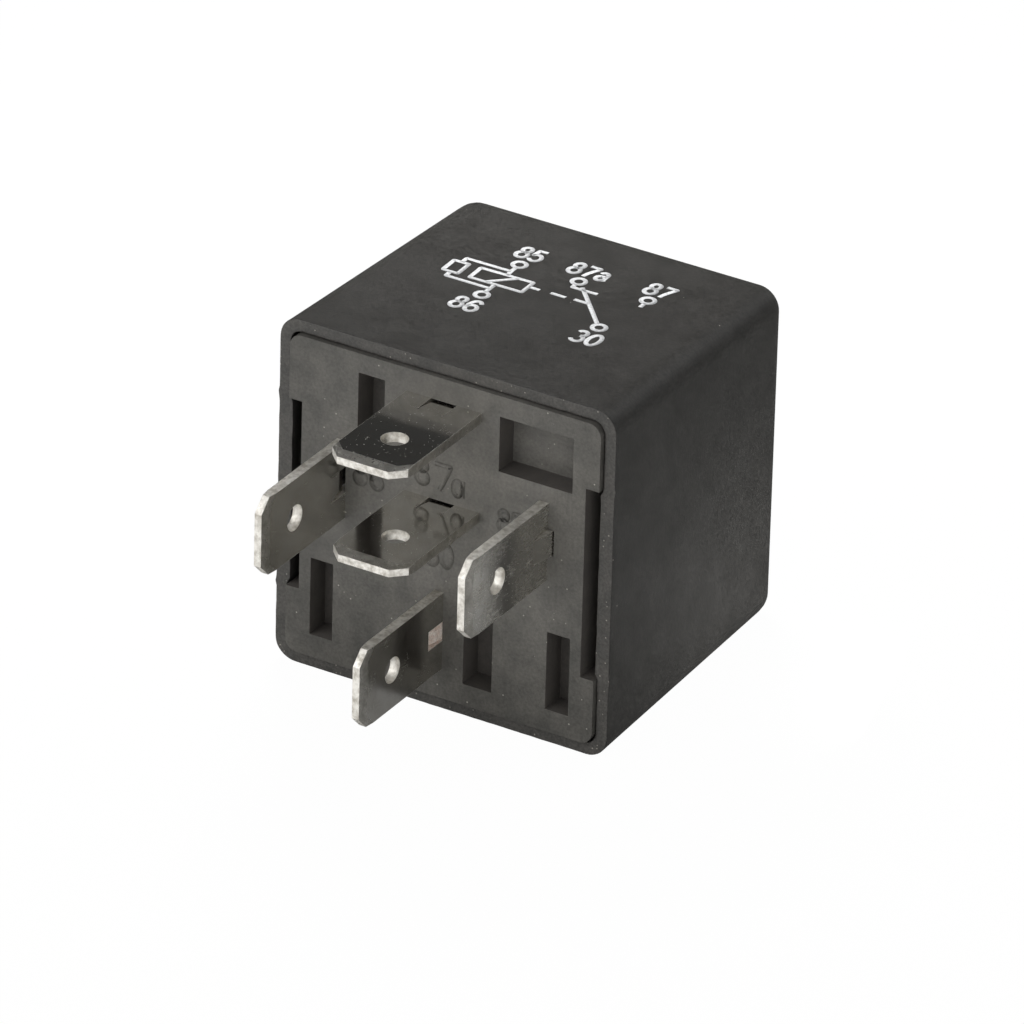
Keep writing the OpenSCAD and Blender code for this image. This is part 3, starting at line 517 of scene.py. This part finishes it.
def addLugs(bm, look):  # ramps inside both side walls, which hold the base
    y0, y1, y2 = look["lugY"]
    root = look["width"] / 2 - look["wall"] + look["lugRoot"]
    profile = [(root, y0), (look["lugTip"], y1), (look["lugTip"], y2), (root, y2)]
    for side in (-1, 1):
        ends = [[bm.verts.new((side * px, py, half * look["lugLength"])) for px, py in profile]
                for half in (-0.5, 0.5)]
        made = [bm.faces.new(ends[0]), bm.faces.new(list(reversed(ends[1])))]
        for k in range(4):
            made.append(bm.faces.new((ends[0][(k + 1) % 4], ends[0][k], ends[1][k], ends[1][(k + 1) % 4])))
        bmesh.ops.recalc_face_normals(bm, faces=made)


def buildCover(look):
    bm = bmesh.new()
    layers = [[bm.verts.new(Vector(p)) for p in row] for row in coverRows(look)]
    count = len(layers[0])
    for a, b in zip(layers, layers[1:]):
        for k in range(count):
            bm.faces.new((a[k], a[(k + 1) % count], b[(k + 1) % count], b[k]))
    bm.faces.new(list(reversed(layers[0])))
    bm.faces.new(layers[-1])
    unevenRim(bm, look)
    bmesh.ops.remove_doubles(bm, verts=bm.verts, dist=0.002)
    addLugs(bm, look)
    bmesh.ops.scale(bm, vec=(mm, mm, mm), verts=bm.verts)
    bm.normal_update()
    if max(bm.faces, key=lambda f: f.calc_center_median().y).normal.y < 0:
        bmesh.ops.reverse_faces(bm, faces=bm.faces)
    mesh = bpy.data.meshes.new("housingCover")
    bm.to_mesh(mesh)
    bm.free()
    mesh.materials.append(coverPlastic)
    mesh.materials.append(rimPlasticPaintedLight)
    for face in mesh.polygons:
        # the rim's front face gets the rim plastic, whose colour is painted lighter as painted light
        if face.normal.y < -0.6 and face.center.y < look["rimPainted"] * mm:
            face.material_index = 1
    cover = placedObject("housingCover", mesh)
    evenNormals(cover, 50)
    return cover


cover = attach(buildCover(coverLook), "relay")
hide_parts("cover")
print("cover swept:", len(cover.data.polygons), "faces")

# The base keeps its CAD form, with the broken edges of moulding. Its slots close on their
# blades: each is (axis across the blade, middle there, axis along it, middle there).
baseLook = {
    "edge": 0.035, "keyAt": (9.5, 2.45), "keyHalf": 1.2, "keyDeep": 0.67, "lanceHalf": 1.03, "lanceOut": 9.34,
    "thick": 0.4, "wide": 3.15, "snug": 0.04, "near": 0.02,
    "slots": ((2, 10.75, 0, 0.0), (2, 2.7, 0, 0.0), (0, -8.45, 2, 2.45), (0, 8.45, 2, 2.45), (0, -0.05, 2, -7.4)),
    "pocket": (4.5, 10.9, 6.7), "deepFrom": 0.12, "deepTo": 3.3, "insideX": 12.6, "insideZ": 12.4,
}


def snugSlots(*point):  # no groove shows round a blade, and the lance of 85 fills its keyway
    p, look = list(point), baseLook
    keyX, keyZ = look["keyAt"]
    near = look["near"]
    if abs(abs(p[2] - keyZ) - look["keyHalf"]) < near and keyX - look["keyDeep"] < p[0] < keyX + near:
        p[2] = keyZ + math.copysign(look["lanceHalf"], p[2] - keyZ)
        p[0] = look["lanceOut"] if p[0] > keyX - near else p[0]
    for axis, middle, along, centre in look["slots"]:
        off, side = p[axis] - middle, p[along] - centre
        if abs(abs(off) - look["thick"]) < near and abs(side) < look["wide"] + near:
            p[axis] -= math.copysign(look["snug"], off)
        if abs(abs(side) - look["wide"]) < near and abs(off) < look["thick"] + near:
            p[along] -= math.copysign(look["snug"], side)
    return p


def roughenSlots(mesh, look):  # walls and floors of the slots keep the mould's unpolished skin
    left, right, low = look["pocket"]
    mesh.materials.append(deepPlastic)
    for face in mesh.polygons:
        x, y, z = face.center / mm
        pocketFloor = abs(face.normal.y) >= 0.5 and left < x < right and z > low
        inside = look["deepFrom"] < y < look["deepTo"] and abs(x) < look["insideX"] and abs(z) < look["insideZ"]
        if inside and not pocketFloor:
            face.material_index = 1


base = brokenEdges("base", "basePlate", baseLook["edge"], basePlastic, adjust=snugSlots)
roughenSlots(base.data, baseLook)
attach(base, "relay")

# Blades keep their CAD forms too. Each is (axis across the plate, middle there, how far its
# lance stands out, where the lance ends along Y); blade 30 has a torn window and no such lance.
bladeLook = {
    "edge": 0.06, "near": 0.012, "tip": 0.23, "tipTo": 0.29, "slitEnd": 0.3, "slitDeep": 1.6,
    "lanceEnd": -0.25, "lancePush": 0.4,
    "flat": 0.996, "rootFlat": 0.95, "bevel": 0.93, "bevelFrom": -8.5, "rootFrom": -2.1, "hiddenFrom": 0.4,
    "tornFrom": -1.8, "tornZ": -7.5, "tornHalf": 0.8, "tornDeep": 0.36,
    "blades": {"terminal_87": (2, 10.75, 0.2, 0.1), "terminal_87a": (2, 2.7, 0.2, 0.1),
               "terminal_30": (0, -0.05, 0.4, None), "terminal_85": (0, 8.45, 0.47, 0.3),
               "terminal_86": (0, -8.45, 0.3, 0.05)},
    "plates": {"terminal_85": wornTin, "terminal_30": hazyTin, "terminal_86": hazyTin},
}


def dressBlade(node, look):
    axis, middle, push, reach = look["blades"][node]
    points = [v.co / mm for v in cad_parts[node].data.vertices]
    lance = [p[axis] - middle for p in points if abs(p.y - look["lanceEnd"]) < look["near"]]
    side = math.copysign(1.0, sum(lance)) if lance else 1.0

    def eased(*point):
        p = list(point)
        off = p[axis] - middle
        if abs(abs(off) - look["tip"]) < look["near"]:  # the coined tip is left a little thicker
            p[axis] = middle + math.copysign(look["tipTo"], off)
        if reach is not None and abs(p[1] - look["slitEnd"]) < look["near"]:  # the slit runs on into the base
            p[1] = look["slitDeep"]
        elif reach is not None and abs(p[1] - look["lanceEnd"]) < look["near"]:
            p[1] = reach
            p[axis] += (push - look["lancePush"]) * side
        return p

    plate = look["plates"].get(node, tinPlate)
    blade = brokenEdges(node, "blade" + node.split("_")[1], look["edge"], plate, adjust=eased)
    for finish in (punchedEdge, coinedTin, tornBrass):
        blade.data.materials.append(finish)
    for face in blade.data.polygons:
        place, lean = face.center / mm, abs(face.normal[axis])
        if place.y > look["hiddenFrom"]:
            continue
        torn = (reach is None and place.y > look["tornFrom"] and abs(place.z - look["tornZ"]) < look["tornHalf"]
                and abs(place[axis] - middle) < look["tornDeep"])
        bevelled = place.y < look["bevelFrom"] and look["bevel"] < lean < look["flat"]
        shadedEdge = axis == 2 and abs(face.normal.x) > 0.9
        if torn:
            face.material_index = 3
        elif bevelled or shadedEdge:
            face.material_index = 2
        elif lean < (look["rootFlat"] if place.y > look["rootFrom"] else look["flat"]):
            face.material_index = 1
    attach(blade, "relay")


for node in bladeLook["blades"]:
    dressBlade(node, bladeLook)
print("base and blades dressed")


def arc(cx, cy, rx, ry, start, stop, steps=18):
    turns = [math.radians(start + (stop - start) * k / steps) for k in range(steps + 1)]
    return [(cx + rx * math.cos(a), cy + ry * math.sin(a)) for a in turns]


# Centre lines of the characters that the print and the moulded numbers share, one unit high
glyphs = {
    "0": [arc(0.27, 0.5, 0.24, 0.47, 90, 450, 28)],
    "3": [arc(0.25, 0.755, 0.2, 0.215, 160, -90), arc(0.26, 0.285, 0.24, 0.255, 90, -160)],
    "5": [[(0.47, 0.96), (0.12, 0.96), (0.07, 0.52)] + arc(0.26, 0.32, 0.24, 0.29, 135, -155)],
    "6": [arc(0.27, 0.3, 0.235, 0.27, 180, 540, 24), [(0.035, 0.3)] + arc(0.28, 0.5, 0.245, 0.47, 180, 38)],
    "7": [[(0.02, 0.95), (0.5, 0.95), (0.33, 0.62), (0.22, 0.3), (0.17, 0.02)]],
    "8": [arc(0.27, 0.755, 0.19, 0.215, 90, 450, 22), arc(0.27, 0.285, 0.24, 0.255, 90, 450, 24)],
    "a": [arc(0.24, 0.53, 0.17, 0.2, 165, 0, 10) + [(0.41, 0.14), (0.47, 0.03)],
          [(0.41, 0.44), (0.22, 0.41)] + arc(0.2, 0.21, 0.16, 0.19, 90, 300, 10) + [(0.41, 0.16)]],
}


def word(text, x, y, height, step):
    lines = []
    for k, letter in enumerate(text):
        for stroke in glyphs[letter]:
            lines.append([(x + k * step + px * height, y + py * height) for px, py in stroke])
    return lines


# Both trees take their sizes by name and give back one painted mesh
def openTree(name, sizes):
    tree = bpy.data.node_groups.new(name, "GeometryNodeTree")
    tree.is_modifier = True
    face = tree.interface
    face.new_socket("Geometry", in_out="INPUT", socket_type="NodeSocketGeometry")
    for label in sizes:
        face.new_socket(label, in_out="INPUT", socket_type="NodeSocketFloat")
    face.new_socket("Finish", in_out="INPUT", socket_type="NodeSocketMaterial")
    face.new_socket("Geometry", in_out="OUTPUT", socket_type="NodeSocketGeometry")
    return tree, addNode(tree, "NodeGroupInput").outputs


def closeTree(tree, shape, finish):
    solid = addNode(tree, "GeometryNodeRealizeInstances", {}, {"Geometry": shape})
    painted = addNode(tree, "GeometryNodeSetMaterial", {}, {"Geometry": solid.outputs[0], "Material": finish})
    addNode(tree, "NodeGroupOutput", {}, {"Geometry": painted.outputs[0]})
    return tree


# A path becomes a low bar with sloped sides
def ribbonTree():
    tree, given = openTree("ribbonAlongPath", ("Foot Width", "Top Width", "Height", "Corner Radius"))
    path = addNode(tree, "GeometryNodeMeshToCurve", {}, {"Mesh": given["Geometry"]})
    rounded = addNode(tree, "GeometryNodeFilletCurve", {"mode": "POLY"}, {
        "Curve": path.outputs[0], "Count": 3, "Radius": given["Corner Radius"], "Limit Radius": True})
    section = addNode(tree, "GeometryNodeCurvePrimitiveQuadrilateral", {"mode": "TRAPEZOID"}, {
        "Bottom Width": given["Foot Width"], "Top Width": given["Top Width"], "Height": given["Height"],
        "Offset": 0.0})
    bar = addNode(tree, "GeometryNodeCurveToMesh", {}, {
        "Curve": rounded.outputs[0], "Profile Curve": section.outputs[0], "Fill Caps": True})
    return closeTree(tree, bar.outputs[0], given["Finish"])


ribbons = ribbonTree()


def runTree(obj, tree, values):
    modifier = obj.modifiers.new(tree.name, "NODES")
    modifier.node_group = tree
    ids = {s.name: s.identifier for s in tree.interface.items_tree if s.in_out == "INPUT"}
    for label, value in values.items():
        modifier[ids[label]] = value
    return settled(obj)


# Flat strokes in mm, built on the XY plane and then placed on a face by a matrix
def strokes(name, lines, look, finish, placed):
    mesh = bpy.data.meshes.new(name)
    points, edges = [], []
    for line in lines:
        closed = math.dist(line[0], line[-1]) < 1e-6
        first = len(points)
        points += [(u * mm, v * mm, 0.0) for u, v in (line[:-1] if closed else line)]
        edges += [(k, k + 1) for k in range(first, len(points) - 1)]
        if closed:
            edges.append((len(points) - 1, first))
    mesh.from_pydata(points, edges, [])
    obj = placedObject(name, mesh)
    runTree(obj, ribbons, {
        "Foot Width": look["foot"] * mm, "Top Width": look["top"] * mm, "Height": look["height"] * mm,
        "Corner Radius": look["corner"] * mm, "Finish": finish})
    obj.data.transform(placed)
    return obj


# Printed diagram: numbers as (text, left, foot, height, step), the ring of each terminal,
# and the lines of the coil, its resistor and the changeover contact
printLook = {
    "foot": 0.345, "top": 0.335, "height": 0.014, "corner": 0.06, "ring": 0.5,
    "words": (("85", -5.26, 17.99, 1.84, 1.13), ("86", -5.02, 8.42, 1.84, 1.22), ("87", 5.42, 18.2, 1.84, 1.2),
              ("30", 4.94, 8.68, 1.84, 1.18), ("87", -0.83, 17.98, 1.84, 1.2), ("a", 1.48, 18.05, 1.803, 1.2)),
    "rings": ((-4.02, 16.98), (-3.75, 11.25), (0.9, 17.1), (6.57, 17.3), (5.88, 11.55)),
    "lines": (
        [(-3.99, 16.48), (-3.97, 15.7), (-3.87, 15.02)],
        [(-3.97, 15.7), (-7.7, 15.7), (-7.66, 14.97)],
        [(-8.3, 14.95), (-7.05, 14.95), (-6.95, 13.2), (-8.2, 13.2), (-8.3, 14.95)],
        [(-7.55, 13.2), (-7.5, 12.45), (-3.78, 12.45)],
        [(-3.82, 13.2), (-3.78, 12.45), (-3.76, 11.75)],
        [(-6.05, 14.97), (-1.68, 15.05), (-1.6, 13.25), (-5.95, 13.2), (-6.05, 14.97)],
        [(-2.9, 15.0), (-4.62, 13.25)],
        [(-1.6, 14.3), (-0.72, 14.28)], [(0.18, 14.36), (1.42, 14.33)], [(2.1, 14.42), (3.35, 14.42)],
        [(0.93, 16.6), (0.98, 16.05), (3.05, 16.08)],
        [(1.6, 16.4), (2.1, 15.85), (5.53, 11.92)],
        [(6.6, 16.8), (6.63, 16.08)],
    ),
}


def lettering(look):
    lines = [line for each in look["words"] for line in word(*each)]
    lines += [arc(x, y, look["ring"], look["ring"], 90, 450, 28) for x, y in look["rings"]]
    return lines + list(look["lines"])


# The diagram lies on the drafted top: its y counts from the base's face, so it is set back to the rim
topTilt = math.radians(coverLook["draftTop"])
topPlace = (Matrix.Translation((0, coverLook["rimY"] * mm, coverLook["width"] / 2 * mm))
            @ Matrix.Rotation(-topTilt, 4, "X"))
topLines = [[(x, (y - coverLook["rimY"]) / math.cos(topTilt)) for x, y in line] for line in lettering(printLook)]
diagram = strokes("printedDiagram", topLines, printLook, printInk, topPlace)
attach(diagram, "relay")

# Numbers moulded on the base's face beside the blades, with a wider 7 and a rounder a
mouldLook = {
    "foot": 0.36, "top": 0.3, "height": 0.05, "corner": 0.05, "ring": 0.0, "rings": (),
    "words": (("8", -2.2, 4.0, 2.0, 1.4), ("3", -1.2, -2.3, 1.9, 1.2), ("0", 0.0, -2.2, 1.9, 1.2),
              ("8", 4.7, 2.15, 1.8, 1.2), ("5", 5.8, 2.15, 1.8, 1.2),
              ("8", -7.35, 2.4, 1.9, 1.2), ("6", -5.95, 2.4, 1.9, 1.2)),
    "lines": ([(-0.62, 6.02), (0.72, 6.02), (0.3, 5.0), (-0.2, 3.95)],
              arc(1.28, 4.5, 0.36, 0.62, 90, 450, 22), [(1.72, 5.2), (1.72, 3.85)]),
}
facePlace = Matrix.Rotation(math.radians(90), 4, "X")
numbers = strokes("mouldedNumbers", lettering(mouldLook), mouldLook, basePlastic, facePlace)
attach(numbers, "relay")
print("print and numbers laid")

# Coil: one helix of wire on a solid core of inner layers. The wire is drawn thicker than
# the real hair-fine one, so that its turns show.
coilLook = {"axisZ": -3.6, "wire": 0.2, "wireSides": 6, "turnSteps": 56, "coreSides": 72}


def windingTree(look):
    tree, given = openTree("wireWound", ("Radius", "Length", "Wire", "Turns"))
    helix = addNode(tree, "GeometryNodeCurveSpiral", {}, {
        "Resolution": look["turnSteps"], "Rotations": given["Turns"], "Start Radius": given["Radius"],
        "End Radius": given["Radius"], "Height": given["Length"]})
    half = addNode(tree, "ShaderNodeMath", {"operation": "MULTIPLY"}, {0: given["Wire"], 1: 0.52})
    section = addNode(tree, "GeometryNodeCurvePrimitiveCircle", {"mode": "RADIUS"}, {
        "Resolution": look["wireSides"], "Radius": half.outputs[0]})
    wire = addNode(tree, "GeometryNodeCurveToMesh", {}, {
        "Curve": helix.outputs[0], "Profile Curve": section.outputs[0], "Fill Caps": True})
    inner = addNode(tree, "GeometryNodeMeshCylinder", {"fill_type": "NGON"}, {
        "Vertices": look["coreSides"], "Side Segments": 1, "Radius": given["Radius"], "Depth": given["Length"]})
    lift = addNode(tree, "ShaderNodeMath", {"operation": "MULTIPLY"}, {0: given["Length"], 1: 0.5})
    shift = addNode(tree, "ShaderNodeCombineXYZ", {}, {"Z": lift.outputs[0]})
    core = addNode(tree, "GeometryNodeTransform", {}, {
        "Geometry": inner.outputs["Mesh"], "Translation": shift.outputs[0]})
    both = addNode(tree, "GeometryNodeJoinGeometry")
    tree.links.new(wire.outputs[0], both.inputs[0])
    tree.links.new(core.outputs[0], both.inputs[0])
    return closeTree(tree, both.outputs[0], given["Finish"])


def buildWinding(look):
    low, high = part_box("winding")
    wire = look["wire"] * mm
    radius, length = (high.x - low.x) / 2 - wire / 2, high.y - low.y - wire
    obj = placedObject("coilWinding", bpy.data.meshes.new("coilWinding"))
    runTree(obj, windingTree(look), {
        "Radius": radius, "Length": length, "Wire": wire, "Turns": length / wire, "Finish": enamelCopper})
    obj.data.transform(Matrix.Translation((0, low.y + wire / 2, look["axisZ"] * mm))
                       @ Matrix.Rotation(math.radians(-90), 4, "X"))
    shadeSmooth(obj.data, 50)
    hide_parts("winding")
    return obj


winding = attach(buildWinding(coilLook), "relay")

# Hidden parts by node: (piece, edge width in mm, finish, slot, body)
insideParts = {
    "yoke": ("ironYoke", 0.12, zincSteel, "yoke_steel", "relay"),
    "core": ("ironCore", 0.12, softIron, "yoke_steel", "relay"),
    "bobbin": ("coilBobbin", 0.12, bobbinPlastic, "bobbin_plastic", "relay"),
    "winding_tape": ("coilTape", 0.03, tapeFilm, "tape", "relay"),
    "terminal_30_rivet": ("yokeRivet", 0.08, rivetSteel, "rivet_steel", "relay"),
    "spring_rivet_left": ("springRivetLeft", 0.1, rivetSteel, "rivet_steel", "relay"),
    "spring_rivet_right": ("springRivetRight", 0.1, rivetSteel, "rivet_steel", "relay"),
    "armature_rivet_left": ("armatureRivetLeft", 0.1, rivetSteel, "rivet_steel", "armature_unit"),
    "armature_rivet_right": ("armatureRivetRight", 0.1, rivetSteel, "rivet_steel", "armature_unit"),
    "armature": ("ironArmature", 0.12, softIron, "yoke_steel", "armature_unit"),
    "moving_contact": ("movingContact", 0.06, contactSilver, "contact_silver", "armature_unit"),
    "fixed_contact_87": ("fixedContact87", 0.06, contactSilver, "contact_silver", "relay"),
    "fixed_contact_87a": ("fixedContact87a", 0.06, contactSilver, "contact_silver", "relay"),
    "resistor_body": ("resistorBody", 0.25, resistorLacquer, "resistor_lacquer", "relay"),
}
for node, (pieceName, edge, finish, slotName, body) in insideParts.items():
    piece = brokenEdges(node, pieceName, edge, finish)
    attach(piece, body)

# The leaf spring between the yoke's leg and the armature, with its edges broken and its place baked into its mesh
spring = brokenEdges("contact_spring", "contactSpring", 0.04, springBronze, steps=1)
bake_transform(spring)

# Round wires and solder are shown as the CAD has them
for node, finish in (("coil_wire", enamelCopper), ("resistor_lead", tinPlate), ("solder", softSolder)):
    for end in ("_85", "_86"):
        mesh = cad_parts[node + end].data
        mesh.materials.clear()
        mesh.materials.append(finish)
print("inside parts dressed")

# Camera: the way it looks in degrees, its lens and its place in mm
viewLook = {"azimuth": 30.301, "elevation": 28.482, "roll": 1.588, "lens": 412.9,
            "eye": (376.645, -634.524, 402.718)}


def setCamera(look):
    az, el, roll = (math.radians(look[k]) for k in ("azimuth", "elevation", "roll"))
    back = Vector((math.sin(az) * math.cos(el), -math.cos(az) * math.cos(el), math.sin(el)))
    right = (-back).cross(Vector((0, 0, 1))).normalized()
    up = right.cross(-back)
    across = right * math.cos(roll) + up * math.sin(roll)
    above = up * math.cos(roll) - right * math.sin(roll)
    data = bpy.data.cameras.new("studioCamera")
    data.lens, data.sensor_width = look["lens"], 36.0
    data.clip_start, data.clip_end = 0.01, 20.0
    cam = placedObject("studioCamera", data)
    turn = Matrix((across, above, back)).transposed().to_4x4()
    cam.matrix_world = Matrix.Translation(Vector(look["eye"]) * mm) @ turn
    bpy.context.scene.camera = cam


setCamera(viewLook)

# Floor: white paper. To metal's mirror rays it glows as painted light, a painted reflection bright in front of
# the relay and a painted shadow dark behind it (mm along Y)
floorLook = {"size": 1.6, "colour": "#f4f4f2", "whiteShare": 0.98, "mirrorShare": 0.85,
             "paintedMirrorGlow": 1.12, "paintedMirrorShadow": 0.14, "brightTo": -20.0, "darkFrom": -8.0, "clear": 0.02}


def setFloor(look):
    bm = bmesh.new()
    bmesh.ops.create_grid(bm, x_segments=1, y_segments=1, size=look["size"] / 2)
    mesh = bpy.data.meshes.new("studioFloor")
    bm.to_mesh(mesh)
    bm.free()
    # the relay rests on its drafted underside, so the floor follows that face
    mesh.transform(Matrix.Translation((0, coverLook["rimY"] * mm, -(coverLook["width"] / 2 + look["clear"]) * mm))
                   @ Matrix.Rotation(topTilt, 4, "X"))
    mat = bpy.data.materials.new("studioFloorWhite")
    mat.use_nodes = True
    tree = mat.node_tree
    tree.nodes.clear()
    paper = addNode(tree, "ShaderNodeBsdfDiffuse", {}, {"Color": linearColour(look["colour"])})
    ray = addNode(tree, "ShaderNodeLightPath")
    back = addNode(tree, "ShaderNodeSeparateXYZ", {}, {
        "Vector": addNode(tree, "ShaderNodeTexCoord").outputs["Object"]})
    # painted reflection: the floor as metal mirrors it glows bright in front and dark behind, a painted shadow of
    # the relay
    sheen = addNode(tree, "ShaderNodeMapRange", {"interpolation_type": "SMOOTHSTEP"}, {
        "Value": back.outputs[1], "From Min": look["brightTo"] * mm, "From Max": look["darkFrom"] * mm,
        "To Min": look["paintedMirrorGlow"], "To Max": look["paintedMirrorShadow"]})
    power = addNode(tree, "ShaderNodeMix", {"data_type": "FLOAT"}, {
        0: ray.outputs["Is Camera Ray"], 2: sheen.outputs[0], 3: 1.0})
    glow = addNode(tree, "ShaderNodeEmission", {}, {"Color": (1, 1, 1, 1), "Strength": power.outputs[0]})
    seen = addNode(tree, "ShaderNodeMath", {"operation": "MULTIPLY"}, {
        0: ray.outputs["Is Camera Ray"], 1: look["whiteShare"]})
    mirrored = addNode(tree, "ShaderNodeMath", {"operation": "MULTIPLY"}, {
        0: ray.outputs["Is Glossy Ray"], 1: look["mirrorShare"]})
    share = addNode(tree, "ShaderNodeMath", {"operation": "MAXIMUM"}, {
        0: seen.outputs[0], 1: mirrored.outputs[0]})
    mixed = addNode(tree, "ShaderNodeMixShader", {}, {
        0: share.outputs[0], 1: paper.outputs[0], 2: glow.outputs[0]})
    addNode(tree, "ShaderNodeOutputMaterial", {}, {"Surface": mixed.outputs[0]})
    mesh.materials.append(mat)
    placedObject("studioFloor", mesh)


setFloor(floorLook)

# A tent open to the front and above and dark low down behind, a broad soft box on the front
# left, a weak fill on the front right, one behind for the edges, and two small ones close to
# the relay. Boxes: (name, place in mm, size in m, power in W, whether metal mirrors it)
lightLook = {
    "aim": (0, 12, 0),
    "tentTilt": (0.0, -0.55, 0.83), "tentStart": 0.3, "tentFull": 0.7, "tentBright": 0.52, "tentDark": 0.038,
    "boxes": (("keySoftBox", (-460, -740, 490), 0.9, 4.6, True),
              ("fillSoftBox", (450, -390, 30), 0.4, 0.85, False),
              ("edgeSoftBox", (230, 500, 350), 0.4, 0.8, True),
              ("cornerSoftBox", (-46, 67, 84), 0.05, 0.14, False),
              ("sideSoftBox", (27, 19, -12), 0.012, 0.0034, False)),
}


def setLight(look):
    for name, place, size, power, mirrored in look["boxes"]:
        data = bpy.data.lights.new(name, "AREA")
        data.shape, data.size, data.energy = "SQUARE", size, power
        lamp = placedObject(name, data)
        lamp.location = Vector(place) * mm
        lamp.rotation_euler = (Vector(place) - Vector(look["aim"])).to_track_quat("Z", "Y").to_euler()
        lamp.visible_camera, lamp.visible_glossy = False, mirrored
    world = bpy.data.worlds.new("studioTent")
    bpy.context.scene.world = world
    world.use_nodes = True
    tree = world.node_tree
    tree.nodes.clear()
    way = addNode(tree, "ShaderNodeTexCoord").outputs["Generated"]
    lean = addNode(tree, "ShaderNodeVectorMath", {"operation": "DOT_PRODUCT"}, {0: way, 1: look["tentTilt"]})
    glow = addNode(tree, "ShaderNodeMapRange", {"interpolation_type": "SMOOTHSTEP"}, {
        "Value": lean.outputs["Value"], "From Min": look["tentStart"], "From Max": look["tentFull"],
        "To Min": look["tentDark"], "To Max": look["tentBright"]})
    ray = addNode(tree, "ShaderNodeLightPath")
    straight = addNode(tree, "ShaderNodeMath", {"operation": "MAXIMUM"}, {
        0: ray.outputs["Is Camera Ray"], 1: ray.outputs["Is Transmission Ray"]})
    strength = addNode(tree, "ShaderNodeMix", {"data_type": "FLOAT"}, {
        0: straight.outputs[0], 2: glow.outputs[0], 3: 1.0})
    shine = addNode(tree, "ShaderNodeBackground", {}, {
        "Color": (1.0, 1.0, 1.0, 1.0), "Strength": strength.outputs[0]})
    addNode(tree, "ShaderNodeOutputWorld", {}, {"Surface": shine.outputs[0]})


setLight(lightLook)
bpy.context.scene.view_settings.view_transform = "Standard"
print("camera, floor and light set")
